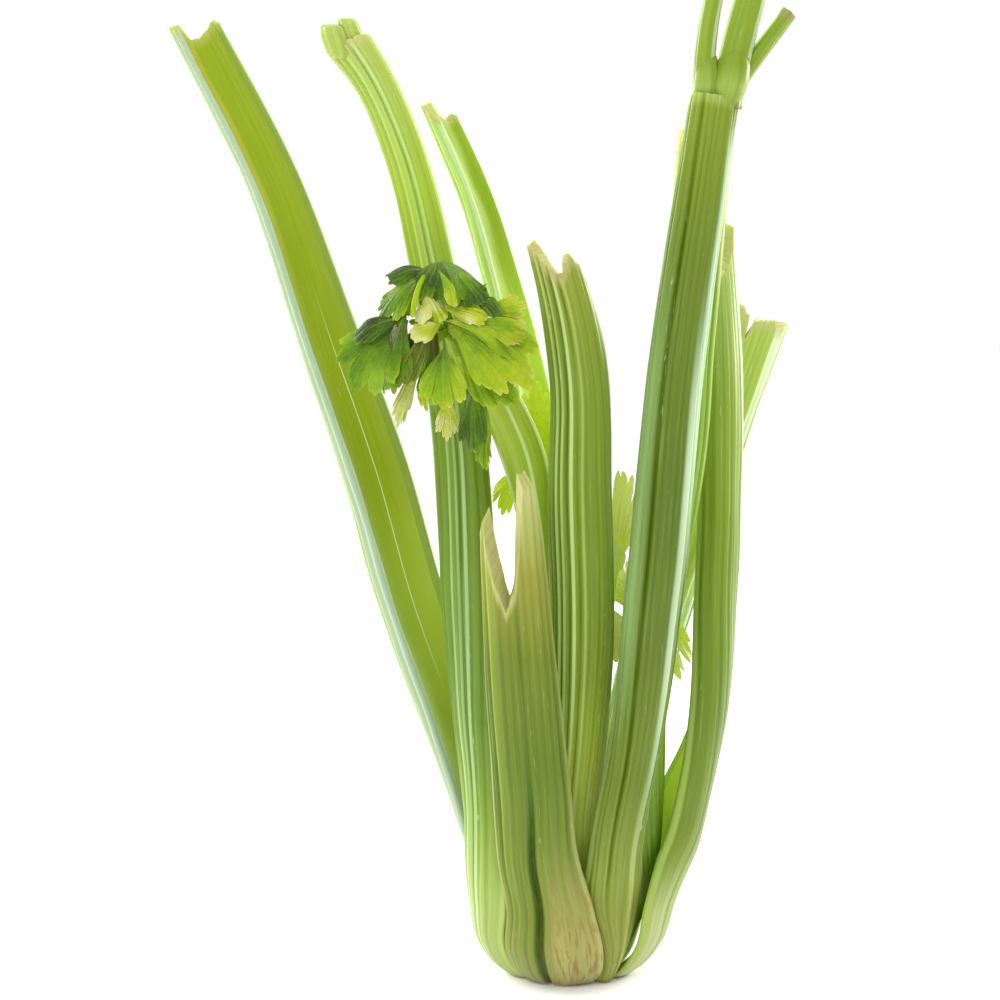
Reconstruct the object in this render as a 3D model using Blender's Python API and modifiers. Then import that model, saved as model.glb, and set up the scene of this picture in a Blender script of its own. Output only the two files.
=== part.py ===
"""A head of celery, standing on the cut face of its butt.

Ten stalks wrap one another round a short solid crown, and three pale leafy stems
stand in the heart. One inner stalk still carries its leaf. The origin is the middle
of the cut face, +Z up; -Y is the side on which the low broken stalk stands.
Tables are in millimetres and degrees. A facing is the compass direction that a stalk's
ribbed back looks towards: 0 is +X, 90 is +Y.
"""

import math

import bmesh
import bpy
import numpy as np

# ---------------------------------------------------------------- driving dimensions

MM = 0.001

CROWN_SIDES = 28
# (distance from the axis, height) down the crown's side, from its tip to the cut
CROWN_PROFILE = [(0, 25), (4.2, 23.5), (9.2, 18), (13.4, 10), (15.1, 3), (15.1, 0), (0, 0)]

# Each whorl leaves the crown at its first height and bellies out to the bulb of the butt:
# (height, distance of the wall's middle from the head's axis).
WHORLS = {
    "outer": [(0, 19.6), (5, 26.0), (14, 32.0), (30, 35.2)],
    "middle": [(0, 19.6), (5, 23.4), (14, 27.0), (30, 29.4)],
    "inner": [(7, 18.3), (14, 19.4), (30, 20.6)],
    "heart": [(23, 11.8), (30, 10.6), (40, 9.6)],
}
BULB_START = 5  # height at which the stalks start to widen from the cut to the bulb
BUTT_WALL = {"outer": 7.8, "middle": 7.6, "inner": 5.2}
HEART_FOOT = 3.2  # radius of a heart stem where it leaves the crown

WALL_BASE = 2.2  # wall = WALL_BASE + WALL_SHARE * half width
WALL_SHARE = 0.40
LIP_SHARE = 0.30  # wall at a stalk's two lips, as a share of the middle's
LOW_WRAP = 34.0  # half of the arc that a section spans, just above the bulb
SQUARE_HEIGHTS = (16.0, 70.0)  # sections turn from level to square with the stalk here
RIB_HEIGHT = 0.75
FULL_RIBS = 9.0  # half width from which the ribs stand at their full height
THINNING = 0.7  # power of the cosine by which a wall thins from its middle to its lips
FOLD_WIDTH = 0.13
FOLD_HEIGHTS = (20, 95)  # the crease in the butt fades out between these
BREAK_REACH = 55.0  # how far below its end a broken stalk's edge is drawn out
BREAK_POWER = 1.3
BRANCH_WRAP = 70.0
RING_CROWDING = 1.2  # over 1 sets a stalk's sections closer together at the butt

BLADE = 0.8  # leaf thickness
TOOTH = 0.07  # how far teeth stand out of a leaflet's margin, as a share of its length

# ---------------------------------------------------------------- what stands on the crown

# angle and spread: where the wall sits round the crown, and half of the angle that it takes, each at
# the cut and at the bulb. curl: heights between which the section curls up, and half of its arc then.
# route: (x, y, z, half width, facing) of a section's middle, from above the butt to the end.
# end: (place across, -1 to 1 seen from the back, and rise of the broken edge there).
# fold: place across and depth of a crease down the back of the butt.
# bulge: how far its butt stands out past the rest of its whorl.
STALKS = {
    "stalk_front": {
        "whorl": "outer", "angle": (-102.3, -103.8), "spread": (38.2, 28.7), "curl": (40, 150, 62),
        "ribs": 9, "rings": 14,
        "route": [
            (-12.8, -38.2, 53, 15.2, -104), (-15.2, -40.8, 80, 14.2, -101),
            (-18, -42, 111, 12.6, -98.5), (-20.9, -43, 150, 10.6, -96),
        ],
        "end": [(-1, 22), (-0.75, 34), (-0.5, 14), (-0.2, 0), (0.05, 8), (0.42, 45),
                (0.72, 46), (1, 26)],
        "fold": (0.05, 3.0),
    },
    "stalk_front_right": {
        "whorl": "middle", "angle": (-51.5, -55), "spread": (10.3, 26), "curl": (30, 130, 76),
        "ribs": 7, "rings": 18,
        "route": [
            (17.5, -31, 54, 11.2, -62), (24, -33.5, 92, 9.6, -65), (31, -36, 155, 9.6, -70),
            (39.0, -37, 243, 9.0, -74), (46.7, -36.5, 300, 8.3, -75), (51.8, -35, 336, 7.9, -76),
        ],
        "end": [(-1, -5), (-0.75, 0), (0.75, 0), (1, -5)],
        "fold": (0.05, 0.8),
    },
    "stalk_right": {
        "whorl": "outer", "angle": (-13.5, -13.5), "spread": (25.8, 28), "curl": (10, 66, 79),
        "ribs": 7, "rings": 17, "bulge": 2.4,
        "route": [
            (39, -1.5, 49, 16.0, 3), (43.3, -0.8, 68, 14.4, 8), (48, -0.5, 84, 13.0, 0),
            (51.8, -0.5, 101, 12.0, -10), (55.5, 1.5, 145, 10.4, -27), (57.5, 5, 190, 9.6, -34),
            (58, 8, 230, 8.6, -38), (57, 11, 279, 5.2, -43),
        ],
        "end": [(-1, -18), (0, -6), (0.5, 8), (1, -2)],
        "fold": None,
    },
    "stalk_rear_right": {
        "whorl": "middle", "angle": (38, 38), "spread": (24, 24.5), "curl": (30, 140, 72),
        "ribs": 6, "rings": 15,
        "route": [
            (24, 24.5, 80, 11.2, 47), (29, 28, 106, 11.0, 53), (39, 32, 140, 10.2, 58),
            (51, 37, 176, 9.8, 61), (62, 42, 210, 9.8, 63), (74, 46, 245, 10.4, 64),
        ],
        "end": [(-1, 3), (-0.6, 5), (0, 4), (0.25, 3), (0.38, -5), (0.48, 4), (0.8, 7), (1, 5)],
        "fold": None,
    },
    "stalk_rear": {
        "whorl": "middle", "angle": (88.5, 88.5), "spread": (24, 24.5), "curl": (30, 150, 74),
        "ribs": 6, "rings": 17,
        "route": [
            (-3.5, 35.5, 104, 10.8, 102), (-7, 38, 150, 9.4, 120), (-14.5, 40, 215, 8.8, 138),
            (-26.5, 42, 266, 8.0, 148), (-36, 43, 297, 7.5, 152), (-50, 45, 329, 7.0, 154),
        ],
        "end": [(-1, -3), (-0.8, -2), (-0.3, -3.5), (0.1, -1), (0.45, 5), (0.7, 3), (1, -2)],
        "fold": None,
    },
    "stalk_rear_left": {
        "whorl": "outer", "angle": (139.5, 139.5), "spread": (25, 26), "curl": (30, 130, 72),
        "ribs": 6, "rings": 18,
        "route": [
            (-36, 19, 66, 14.5, 141), (-48.5, 15.5, 104, 14.3, 142), (-61.5, 15.5, 142, 14.0, 139),
            (-75, 18, 190, 13.5, 134), (-94, 23, 245, 11.8, 129), (-114, 28.5, 302, 10.0, 127),
            (-143.8, 33.5, 361, 8.8, 125),
        ],
        "end": [(-1, -2), (-0.85, 0), (-0.6, -2), (0, -4), (0.5, -3), (0.8, 4), (1, 3)],
        "fold": None,
    },
    "stalk_left": {
        "whorl": "outer", "angle": (191.4, 196.6), "spread": (25.8, 29.8), "curl": (40, 150, 74),
        "ribs": 7, "rings": 18,
        "route": [
            (-33, -8, 66, 13.2, 208), (-36, -7, 104, 12.2, 217), (-39, -4, 150, 11.0, 230),
            (-42.5, -1, 205, 9.8, 240), (-53, 1, 275, 8.0, 243), (-63, 1, 315, 7.4, 243),
            (-76, -1, 344, 7.2, 243), (-85.5, -3, 358, 8.0, 243),
        ],
        "end": [(-1, -4), (-0.5, -4), (0, -4), (0.2, -2), (0.6, -3), (1, -6)],
        "fold": None,
    },
    "stalk_inner_front": {
        "whorl": "inner", "angle": (-92, -92), "spread": (30, 34), "curl": (30, 150, 74),
        "ribs": 8, "rings": 17,
        "route": [
            (-0.5, -22, 62, 11.0, -91), (2, -23, 92, 10.6, -91), (4, -24, 130, 10.6, -93),
            (3, -24, 190, 10.6, -95), (2.5, -22, 232, 9.5, -97), (-2, -19, 260, 8.4, -98),
            (-5, -17, 271, 8.0, -98),
        ],
        "end": [(-1, 4), (-0.75, 13), (-0.5, 9), (0, -3), (0.2, -2), (0.45, 5), (0.7, 0), (1, -12)],
        "fold": (0.2, 1.4),
    },
    "stalk_inner_right": {
        "whorl": "inner", "angle": (-22, -8), "spread": (28, 19), "curl": (30, 150, 74),
        "ribs": 6, "rings": 15, "bulge": 6.5,
        "route": [
            (27, -8, 52, 9.6, -20), (27.5, -11, 74, 9.6, -34), (28, -13, 108, 10.0, -48),
            (33, -13, 150, 9.8, -58), (41, -12, 200, 9.6, -64), (44.5, -11, 250, 9.6, -68),
            (48.7, -10, 302, 9.7, -70),
        ],
        "end": [(-1, 20), (-0.75, 20), (-0.45, 2), (0, -4), (0.6, 10), (0.85, 27), (1, 24)],
        "fold": None,
    },
    "stalk_leafy": {
        "whorl": "inner", "angle": (172, 172), "spread": (26, 28), "curl": (30, 150, 70),
        "ribs": 4, "rings": 14,
        "route": [
            (-11, 3, 84, 8.2, 176), (-9, 1, 140, 8.6, 200), (-14.5, -4, 185, 9.2, 222),
            (-20, -9.5, 205, 9.2, 230), (-29, -17, 226, 8.0, 230), (-35, -20.5, 238, 6.4, 230),
        ],
        "end": [(-1, 0), (1, 0)],
        "fold": None,
    },
}

# The swollen joint at the top of the tall stalk: its middle and its half sizes; and the three
# stubs above it: route of (x, y, z, half width, facing).
TALL_JOINT = ((52.3, -35.6, 334.5), (8.8, 6.6, 5.6))
TALL_BRANCHES = [
    [(47, -36, 333, 3.4, -100), (48.5, -36, 356, 3.3, -100), (53.5, -34, 383, 3.0, -100)],
    [(55.5, -35, 332, 6.0, -80), (59.5, -33.5, 352, 5.6, -80), (69.5, -31, 387, 5.0, -80)],
    [(59.5, -33, 334, 3.2, -30), (67, -30, 350, 3.2, -30), (79, -27, 366, 3.2, -30)],
]

# Stems of the leaf on stalk_leafy, as rows of (x, y, z, radius): the rib runs up from the stalk's
# end, and its branches leave it.
LEAF_STEMS = [
    [(-39, -21, 237, 3.4), (-46, -26, 246, 3.0), (-53, -29, 255, 2.0), (-58, -31, 264, 1.2)],
    [(-47, -27, 247, 1.6), (-54, -33, 249, 1.5), (-60, -36, 247, 1.1)],
    [(-46, -26, 247, 1.6), (-41, -33, 250, 1.5), (-37, -37, 249, 1.1)],
]

# base and tip in millimetres; face, the way that the upper side looks; spread, half of the fan's
# angle; arch, how far the blade bows above the line from base to tip, as a share of its length;
# cup, how far its sides droop; teeth on each of the three lobes.
LEAF_BLADES = [
    {"base": (-57.5, -30.8, 263), "tip": (-73, -37, 266), "face": (0.2, -0.5, 1), "spread": 54,
     "arch": 0.20, "cup": 0.30, "teeth": 2},
    {"base": (-55.0, -30.4, 260.2), "tip": (-32, -27, 257), "face": (0.1, -0.4, 1), "spread": 50,
     "arch": 0.42, "cup": 0.25, "teeth": 3},
    {"base": (-52.6, -29.4, 254.6), "tip": (-46.5, -48, 252), "face": (0.1, -0.5, 1), "spread": 46,
     "arch": 0.36, "cup": 0.20, "teeth": 3},
    {"base": (-59, -35.7, 247.3), "tip": (-85, -41, 227), "face": (-0.4, -1, 0.8), "spread": 48,
     "arch": 0.14, "cup": 0.10, "teeth": 3},
    {"base": (-57.5, -35, 247.8), "tip": (-68, -52, 218), "face": (-1, -0.4, 0.3), "spread": 32,
     "arch": 0.10, "cup": 0.20, "teeth": 2},
    {"base": (-37.6, -36.5, 249), "tip": (-13, -45, 229), "face": (0.4, -1, 0.9), "spread": 54,
     "arch": 0.12, "cup": 0.08, "teeth": 4},
    {"base": (-41, -33, 250), "tip": (-45, -43, 208), "face": (0.1, -1, 0.1), "spread": 26,
     "arch": 0.10, "cup": 0.10, "teeth": 2},
    {"base": (-53, -32.2, 248.8), "tip": (-64, -40, 212), "face": (-0.1, -1, 0.1), "spread": 19,
     "arch": 0.08, "cup": 0.05, "teeth": 2},
    {"base": (-39, -35, 249.4), "tip": (-31, -33, 203), "face": (0.9, -0.6, 0), "spread": 22,
     "arch": 0.06, "cup": 0.05, "teeth": 2},
    {"base": (-45, -27.5, 247.3), "tip": (-28, -38, 256), "face": (0, -0.6, 1), "spread": 40,
     "arch": 0.12, "cup": 0.15, "teeth": 2},
]

# The heart's pale leafy stems: a round-backed stem on the crown and small upright leaflets.
HEARTS = {
    "heart_left": {
        "angle": 100,
        "stem": [(0, 9, 60, 2.9), (-1, 12.5, 110, 2.5), (-9, 14, 160, 2.0), (-13, 14, 182, 1.3)],
        "blades": [
            {"base": (-13, 14, 181), "tip": (-13, 10, 226), "face": (0, -1, 0.3), "spread": 34,
             "arch": 0.10, "cup": 0.15, "teeth": 2},
            {"base": (-15, 14, 196), "tip": (-25.5, 12, 175), "face": (-0.4, -1, 0.3), "spread": 28,
             "arch": 0.15, "cup": 0.15, "teeth": 2},
            {"base": (-12, 14, 172), "tip": (2, 20, 196), "face": (0.5, -1, 0.2), "spread": 34,
             "arch": 0.15, "cup": 0.20, "teeth": 2},
        ],
    },
    "heart_middle": {
        "angle": 248,
        "stem": [(3, -4, 60, 2.8), (9, -2, 100, 2.3), (15, 0, 140, 1.7), (18, 1, 158, 1.1)],
        "blades": [
            {"base": (18, 1, 157), "tip": (21, -3, 196), "face": (-0.2, -1, 0.2), "spread": 24,
             "arch": 0.08, "cup": 0.15, "teeth": 2},
            {"base": (17, 1, 152), "tip": (12, -8, 172), "face": (-0.3, -1, 0.4), "spread": 34,
             "arch": 0.15, "cup": 0.15, "teeth": 2},
            {"base": (15, 0, 142), "tip": (20, -7, 120), "face": (0.1, -1, 0.5), "spread": 36,
             "arch": 0.20, "cup": 0.15, "teeth": 2},
        ],
    },
    "heart_right": {
        "angle": 8,
        "stem": [(11, 4, 60, 2.8), (19, 8, 100, 2.3), (28, 10, 138, 1.7), (33, 11, 152, 1.1)],
        "blades": [
            {"base": (33, 11, 151), "tip": (43, 10, 112), "face": (0.3, -1, 0.1), "spread": 22,
             "arch": -0.22, "cup": 0.12, "teeth": 2},
            {"base": (32, 11, 149), "tip": (30, 14, 182), "face": (0.2, -1, 0.3), "spread": 30,
             "arch": 0.10, "cup": 0.20, "teeth": 2},
            {"base": (27, 10, 137), "tip": (16, 19, 158), "face": (-0.3, -1, 0.5), "spread": 32,
             "arch": 0.15, "cup": 0.20, "teeth": 2},
        ],
    },
}

COLOURS = {
    "crown": ((0.62, 0.56, 0.36), 0.60),
    "stalk": ((0.36, 0.55, 0.13), 0.38),
    "leaf": ((0.10, 0.28, 0.03), 0.50),
    "heart": ((0.62, 0.74, 0.16), 0.45),
}


# ---------------------------------------------------------------- small helpers


def smoothstep(value, low, high):
    share = np.clip((np.asarray(value, float) - low) / (high - low), 0, 1)
    return share * share * (3 - 2 * share)


def unit(vectors):
    vectors = np.asarray(vectors, float)
    return vectors / np.linalg.norm(vectors, axis=-1, keepdims=True)


def smooth_rows(rows, count, crowding=1.0):
    """Rows on a cubic curve through the given rows, spaced by distance along their first three columns."""
    rows = np.asarray(rows, float)
    steps = np.linalg.norm(np.diff(rows[:, :3], axis=0), axis=1)
    knots = np.concatenate([[0], np.cumsum(steps)])
    slopes = np.gradient(rows, knots, axis=0)
    places = knots[-1] * np.linspace(0, 1, count) ** crowding
    span = np.clip(np.searchsorted(knots, places, side="right") - 1, 0, len(knots) - 2)
    length = (knots[span + 1] - knots[span])[:, None]
    t = (places - knots[span])[:, None] / length
    return (
        (2 * t**3 - 3 * t**2 + 1) * rows[span]
        + (t**3 - 2 * t**2 + t) * length * slopes[span]
        + (3 * t**2 - 2 * t**3) * rows[span + 1]
        + (t**3 - t**2) * length * slopes[span + 1]
    )


def material(name):
    made = bpy.data.materials.get(name)
    if made is None:
        colour, roughness = COLOURS[name]
        made = bpy.data.materials.new(name)
        made.use_nodes = True
        shader = made.node_tree.nodes["Principled BSDF"]
        shader.inputs["Base Color"].default_value = (*colour, 1)
        shader.inputs["Roughness"].default_value = roughness
        shader.inputs["Metallic"].default_value = 0
    return made


def new_object(name, data, finish, collection):
    data.materials.append(material(finish))
    made = bpy.data.objects.new(name, data)
    collection.objects.link(made)
    return made


def new_mesh(name, points, faces):
    """A smooth-shaded mesh from points in millimetres."""
    mesh = bpy.data.meshes.new(name)
    mesh.from_pydata((np.asarray(points) * MM).tolist(), [], faces)
    mesh.shade_smooth()
    mesh.set_sharp_from_angle(angle=math.radians(50))
    return mesh


def evaluated_mesh(source):
    """A mesh of the object as its curve or its modifiers make it."""
    graph = bpy.context.evaluated_depsgraph_get()
    return bpy.data.meshes.new_from_object(source.evaluated_get(graph))


def drop_crumbs(mesh):
    """Keeps the largest connected body, without the specks that two grazing blades leave."""
    shape = bmesh.new()
    shape.from_mesh(mesh)
    left, bodies = set(shape.verts), []
    while left:
        body, edge = set(), [left.pop()]
        while edge:
            point = edge.pop()
            body.add(point)
            near = {link.other_vert(point) for link in point.link_edges} & left
            left -= near
            edge += near
        bodies.append(body)
    bodies.sort(key=len)
    bmesh.ops.delete(shape, geom=[point for body in bodies[:-1] for point in body], context="VERTS")
    shape.to_mesh(mesh)
    shape.free()


def union(name, pieces, collection):
    """Joins the pieces into the first, which takes the name, by one Boolean on a collection."""
    body = pieces[0]
    body.name = name
    others = bpy.data.collections.new(name + "_repeats")
    bpy.context.scene.collection.children.link(others)
    for piece in pieces[1:]:
        others.objects.link(piece)
        collection.objects.unlink(piece)
    join = body.modifiers.new("join", "BOOLEAN")
    join.operation = "UNION"
    join.operand_type = "COLLECTION"
    join.collection = others
    join.solver = "MANIFOLD"
    joined = evaluated_mesh(body)
    drop_crumbs(joined)
    body.modifiers.clear()
    body.data = joined
    for piece in pieces[1:]:
        bpy.data.objects.remove(piece)
    bpy.data.collections.remove(others)
    return body


# ---------------------------------------------------------------- the crown


def crown(collection):
    """A turned solid: its underside is the cut face, and the stalks sit round its tapering side."""
    mesh = bpy.data.meshes.new("crown")
    points = [(radius * MM, 0, height * MM) for radius, height in CROWN_PROFILE]
    mesh.from_pydata(points, [(k, k + 1) for k in range(len(points) - 1)], [])
    made = new_object("crown", mesh, "crown", collection)
    turn = made.modifiers.new("turn", "SCREW")
    turn.angle = math.tau
    turn.steps = turn.render_steps = CROWN_SIDES
    turn.use_merge_vertices = True
    turn.merge_threshold = 0.00005
    turn.use_smooth_shade = True
    return made


# ---------------------------------------------------------------- stalks


def stations(stalk):
    """Every section's (x, y, z, half width, facing, wrap, wall), from the butt to the end."""
    rows = []
    heights = WHORLS[stalk["whorl"]]
    for z, radius in heights:
        widening = float(smoothstep(z, BULB_START, heights[-1][0]))
        facing, wrap = (low + (high - low) * widening for low, high in (stalk["angle"], stalk["spread"]))
        angle = math.radians(facing)
        half_angle = math.radians(wrap)
        radius += stalk.get("bulge", 0) * widening
        middle = radius * (1 + math.cos(half_angle)) / 2
        rows.append((
            middle * math.cos(angle), middle * math.sin(angle), z, radius * math.sin(half_angle),
            facing % 360, wrap, BUTT_WALL[stalk["whorl"]],
        ))
    low, high, full_wrap = stalk["curl"]
    for x, y, z, half_width, facing in stalk["route"]:
        wrap = LOW_WRAP + (full_wrap - LOW_WRAP) * float(smoothstep(z, low, high))
        wall = WALL_BASE + WALL_SHARE * half_width
        rows.append((x, y, z, half_width, facing % 360, wrap, wall))
    rows = np.array(rows)
    rows[:, 4] = np.degrees(np.unwrap(np.radians(rows[:, 4])))
    return rows


def section_frames(rows):
    """The directions out of a stalk's back, across it and along it, at every section."""
    along = unit(np.gradient(rows[:, :3], axis=0))
    square = smoothstep(rows[:, 2:3], *SQUARE_HEIGHTS)
    along = unit(square * along + (1 - square) * np.array([0, 0, 1.0]))
    facing = np.radians(rows[:, 4])
    back = np.stack([np.cos(facing), np.sin(facing), np.zeros_like(facing)], axis=1)
    back = unit(back - along * (back * along).sum(1, keepdims=True))
    return back, np.cross(along, back), along


def wall_points(rows, across, side, ribs=0, fold=None):
    """One face of a stalk's wall, as points[section, place across].

    A section is an arc, whose wall thins from the middle to the lips. side is 1 for the ribbed back
    and -1 for the smooth channel. Every second column of the back stands on a rib's crest.
    """
    back, over, _ = section_frames(rows)
    half_width, wrap, wall = rows[:, 3:4], np.radians(rows[:, 5:6]), rows[:, 6:7]
    radius = half_width / np.sin(wrap)
    turn = across[None, :] * wrap
    taper = np.clip(np.cos(across * math.pi / 2), 0, 1)[None, :] ** THINNING
    reach = radius + side * wall * (LIP_SHARE + (1 - LIP_SHARE) * taper) / 2
    if ribs:
        crest = -np.cos(math.pi * ribs * (across[None, :] + 1))
        height = RIB_HEIGHT * np.minimum(1, half_width / FULL_RIBS)
        reach = reach + height * crest * (1 - 0.5 * across[None, :] ** 2)
    if fold:
        place, depth = fold
        crease = np.exp(-(((across - place) / FOLD_WIDTH) ** 2))[None, :]
        reach = reach - depth * crease * (1 - smoothstep(rows[:, 2:3], *FOLD_HEIGHTS))
    middle = rows[:, :3] - back * (radius * (1 + np.cos(wrap)) / 2)
    out = (reach * np.cos(turn))[..., None] * back[:, None, :]
    sideways = (reach * np.sin(turn))[..., None] * over[:, None, :]
    return middle[:, None, :] + out + sideways


def draw_out_end(points, across, rows, end):
    """Moves the sections near the end along the stalk, so that the broken edge rises and dips."""
    along = section_frames(rows)[2][-1]
    steps = np.linalg.norm(np.diff(rows[:, :3], axis=0), axis=1)
    from_end = np.append(np.cumsum(steps[::-1])[::-1], 0)
    pull = np.clip(1 - from_end / BREAK_REACH, 0, 1)[:, None] ** BREAK_POWER
    places, rises = zip(*end)
    rise = np.interp(across, places, rises)[None, :]
    return points + (pull * rise)[..., None] * along


def wall_faces(sections, back_count):
    """Triangles of a closed wall whose back has two columns for each of the channel's."""
    channel_count = back_count // 2 + 1
    around = back_count + channel_count
    faces = []
    for section in range(sections - 1):
        low, high = section * around, (section + 1) * around
        for k in range(around):
            after = (k + 1) % around
            faces.append((low + k, low + after, high + after))
            faces.append((low + k, high + after, high + k))
    for start, turned in ((0, True), ((sections - 1) * around, False)):
        for k in range(channel_count - 1):
            a, b, c = start + 2 * k, start + 2 * k + 1, start + 2 * k + 2
            p, q = start + around - 1 - k, start + around - 2 - k
            cap = [(a, b, p), (p, b, q), (b, c, q)]
            faces += [tuple(reversed(face)) for face in cap] if turned else cap
    return faces


def stalk_mesh(name, rows, ribs, end, fold):
    """A loft of a stalk's unlike sections: ribbed back, smooth channel and drawn-out end."""
    back_across = np.linspace(-1, 1, 2 * ribs + 1)
    channel_across = back_across[::2]
    back = draw_out_end(wall_points(rows, back_across, 1, ribs, fold), back_across, rows, end)
    channel = draw_out_end(wall_points(rows, channel_across, -1), channel_across, rows, end)
    points = np.concatenate([back, channel[:, ::-1]], axis=1)
    return new_mesh(name, points.reshape(-1, 3), wall_faces(len(rows), len(back_across)))


def stalk_object(name, stalk, collection):
    rows = smooth_rows(stations(stalk), stalk["rings"], RING_CROWDING)
    mesh = stalk_mesh(name, rows, stalk["ribs"], stalk["end"], stalk["fold"])
    return new_object(name, mesh, "stalk", collection)


def branch_object(route, collection):
    """A short channelled branch above the tall stalk's joint."""
    rows = [(*row, BRANCH_WRAP, WALL_BASE + WALL_SHARE * row[3]) for row in route]
    mesh = stalk_mesh("branch", smooth_rows(rows, 6), 3, [(-1, 0), (1, 0)], None)
    return new_object("branch", mesh, "stalk", collection)


def joint_object(collection):
    middle, half_sizes = TALL_JOINT
    mesh = bpy.data.meshes.new("joint")
    shape = bmesh.new()
    bmesh.ops.create_uvsphere(shape, u_segments=12, v_segments=6, radius=1)
    bmesh.ops.scale(shape, vec=[size * MM for size in half_sizes], verts=shape.verts)
    bmesh.ops.translate(shape, vec=[place * MM for place in middle], verts=shape.verts)
    shape.to_mesh(mesh)
    shape.free()
    mesh.shade_smooth()
    return new_object("joint", mesh, "stalk", collection)


# ---------------------------------------------------------------- leaves


def margin(angles, spread, teeth):
    """A leaflet's reach at each angle from its midrib: three rounded lobes with teeth on them."""
    place = angles / math.radians(spread)
    lobe = np.abs(np.cos(math.pi * 1.5 * place)) ** 0.6
    outline = (1 - 0.30 * place**2) * (0.66 + 0.34 * lobe)
    tooth = np.where(np.arange(len(angles)) % 2, TOOTH, -TOOTH)
    return outline * (1 + tooth)


def blade_points(blade):
    """points[row, column] of a leaflet's middle surface: a fan from its base, bowed and drooping."""
    base, tip = np.array(blade["base"], float), np.array(blade["tip"], float)
    length = np.linalg.norm(tip - base)
    along = (tip - base) / length
    up = np.array(blade["face"], float)
    up = unit(up - along * (up @ along))
    over = np.cross(up, along)
    half = math.radians(blade["spread"])
    angles = np.linspace(-half, half, 6 * blade["teeth"] + 1)
    share = np.array([0.02, 0.40, 0.74, 1.0])[:, None]
    radial = share * margin(angles, blade["spread"], blade["teeth"])
    x, y = radial * np.cos(angles), radial * np.sin(angles)
    bow = blade["arch"] * 4 * x * (1 - x) - blade["cup"] * y**2 * 2
    crimp = 0.03 * np.sin(2.5 * math.pi * angles / half) * share**2
    return base + length * (x[..., None] * along + y[..., None] * over + (bow + crimp)[..., None] * up)


def blade_object(blade, finish, collection):
    """A thin leaflet: an open triangulated fan given its thickness by Solidify."""
    points = blade_points(blade)
    rows, columns = points.shape[:2]
    corners = np.arange(rows * columns).reshape(rows, columns)
    a, b, c, d = corners[:-1, :-1], corners[1:, :-1], corners[1:, 1:], corners[:-1, 1:]
    faces = np.stack([np.stack([a, b, c], -1), np.stack([a, c, d], -1)]).reshape(-1, 3).tolist()
    sheet = new_object("blade", new_mesh("blade", points.reshape(-1, 3), faces), finish, collection)
    thicken = sheet.modifiers.new("thicken", "SOLIDIFY")
    thicken.thickness = BLADE * MM
    thicken.offset = 0
    return as_mesh(sheet, collection)


def as_mesh(source, collection):
    """Replaces a curve or an object with modifiers by a welded mesh of the same form."""
    mesh = evaluated_mesh(source)
    shape = bmesh.new()
    shape.from_mesh(mesh)
    bmesh.ops.remove_doubles(shape, verts=shape.verts, dist=0.00001)
    bmesh.ops.recalc_face_normals(shape, faces=shape.faces)
    if shape.calc_volume(signed=True) < 0:
        bmesh.ops.reverse_faces(shape, faces=shape.faces)
    shape.to_mesh(mesh)
    shape.free()
    made = bpy.data.objects.new(source.name, mesh)
    made.matrix_world = source.matrix_world
    collection.objects.link(made)
    bpy.data.objects.remove(source)
    return made


def stem_object(route, finish, collection, points=8, resolution=1):
    """A round tapering stem through (x, y, z, radius) rows."""
    rows = smooth_rows(route, points) * MM
    curve = bpy.data.curves.new("stem", "CURVE")
    curve.dimensions = "3D"
    curve.bevel_depth = 1
    curve.bevel_resolution = resolution
    curve.use_fill_caps = True
    spline = curve.splines.new("POLY")
    spline.points.add(len(rows) - 1)
    for point, (x, y, z, radius) in zip(spline.points, rows):
        point.co = (x, y, z, 1)
        point.radius = radius
    return as_mesh(new_object("stem", curve, finish, collection), collection)


def heart_object(name, heart, collection):
    angle = math.radians(heart["angle"])
    foot = [
        (radius * math.cos(angle), radius * math.sin(angle), z, HEART_FOOT)
        for z, radius in WHORLS["heart"]
    ]
    pieces = [stem_object(foot + heart["stem"], "heart", collection, points=10, resolution=2)]
    pieces += [blade_object(blade, "heart", collection) for blade in heart["blades"]]
    return union(name, pieces, collection)


# ---------------------------------------------------------------- the head


def main():
    for stale in list(bpy.data.objects):
        bpy.data.objects.remove(stale)
    celery = bpy.data.collections.new("celery_head")
    bpy.context.scene.collection.children.link(celery)
    crown(celery)
    for name, stalk in STALKS.items():
        stalk_object(name, stalk, celery)
    top = [celery.objects["stalk_front_right"], joint_object(celery)]
    top += [branch_object(route, celery) for route in TALL_BRANCHES]
    union("stalk_front_right", top, celery)
    leaf = [stem_object(route, "leaf", celery) for route in LEAF_STEMS]
    leaf += [blade_object(blade, "leaf", celery) for blade in LEAF_BLADES]
    union("leaf_spray", leaf, celery)
    for name, heart in HEARTS.items():
        heart_object(name, heart, celery)


main()
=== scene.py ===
"""The finished look of a head of celery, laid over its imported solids.

Ten ribbed stalks round a short crown, one of them carrying its leaf, and three pale leafy
stems in the heart. Every piece stands for the solid of the same place and form. Tables are in
millimetres and degrees; the frame is in metres, +Z up, with the cut face of the butt at z = 0.
"""

import math

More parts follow.
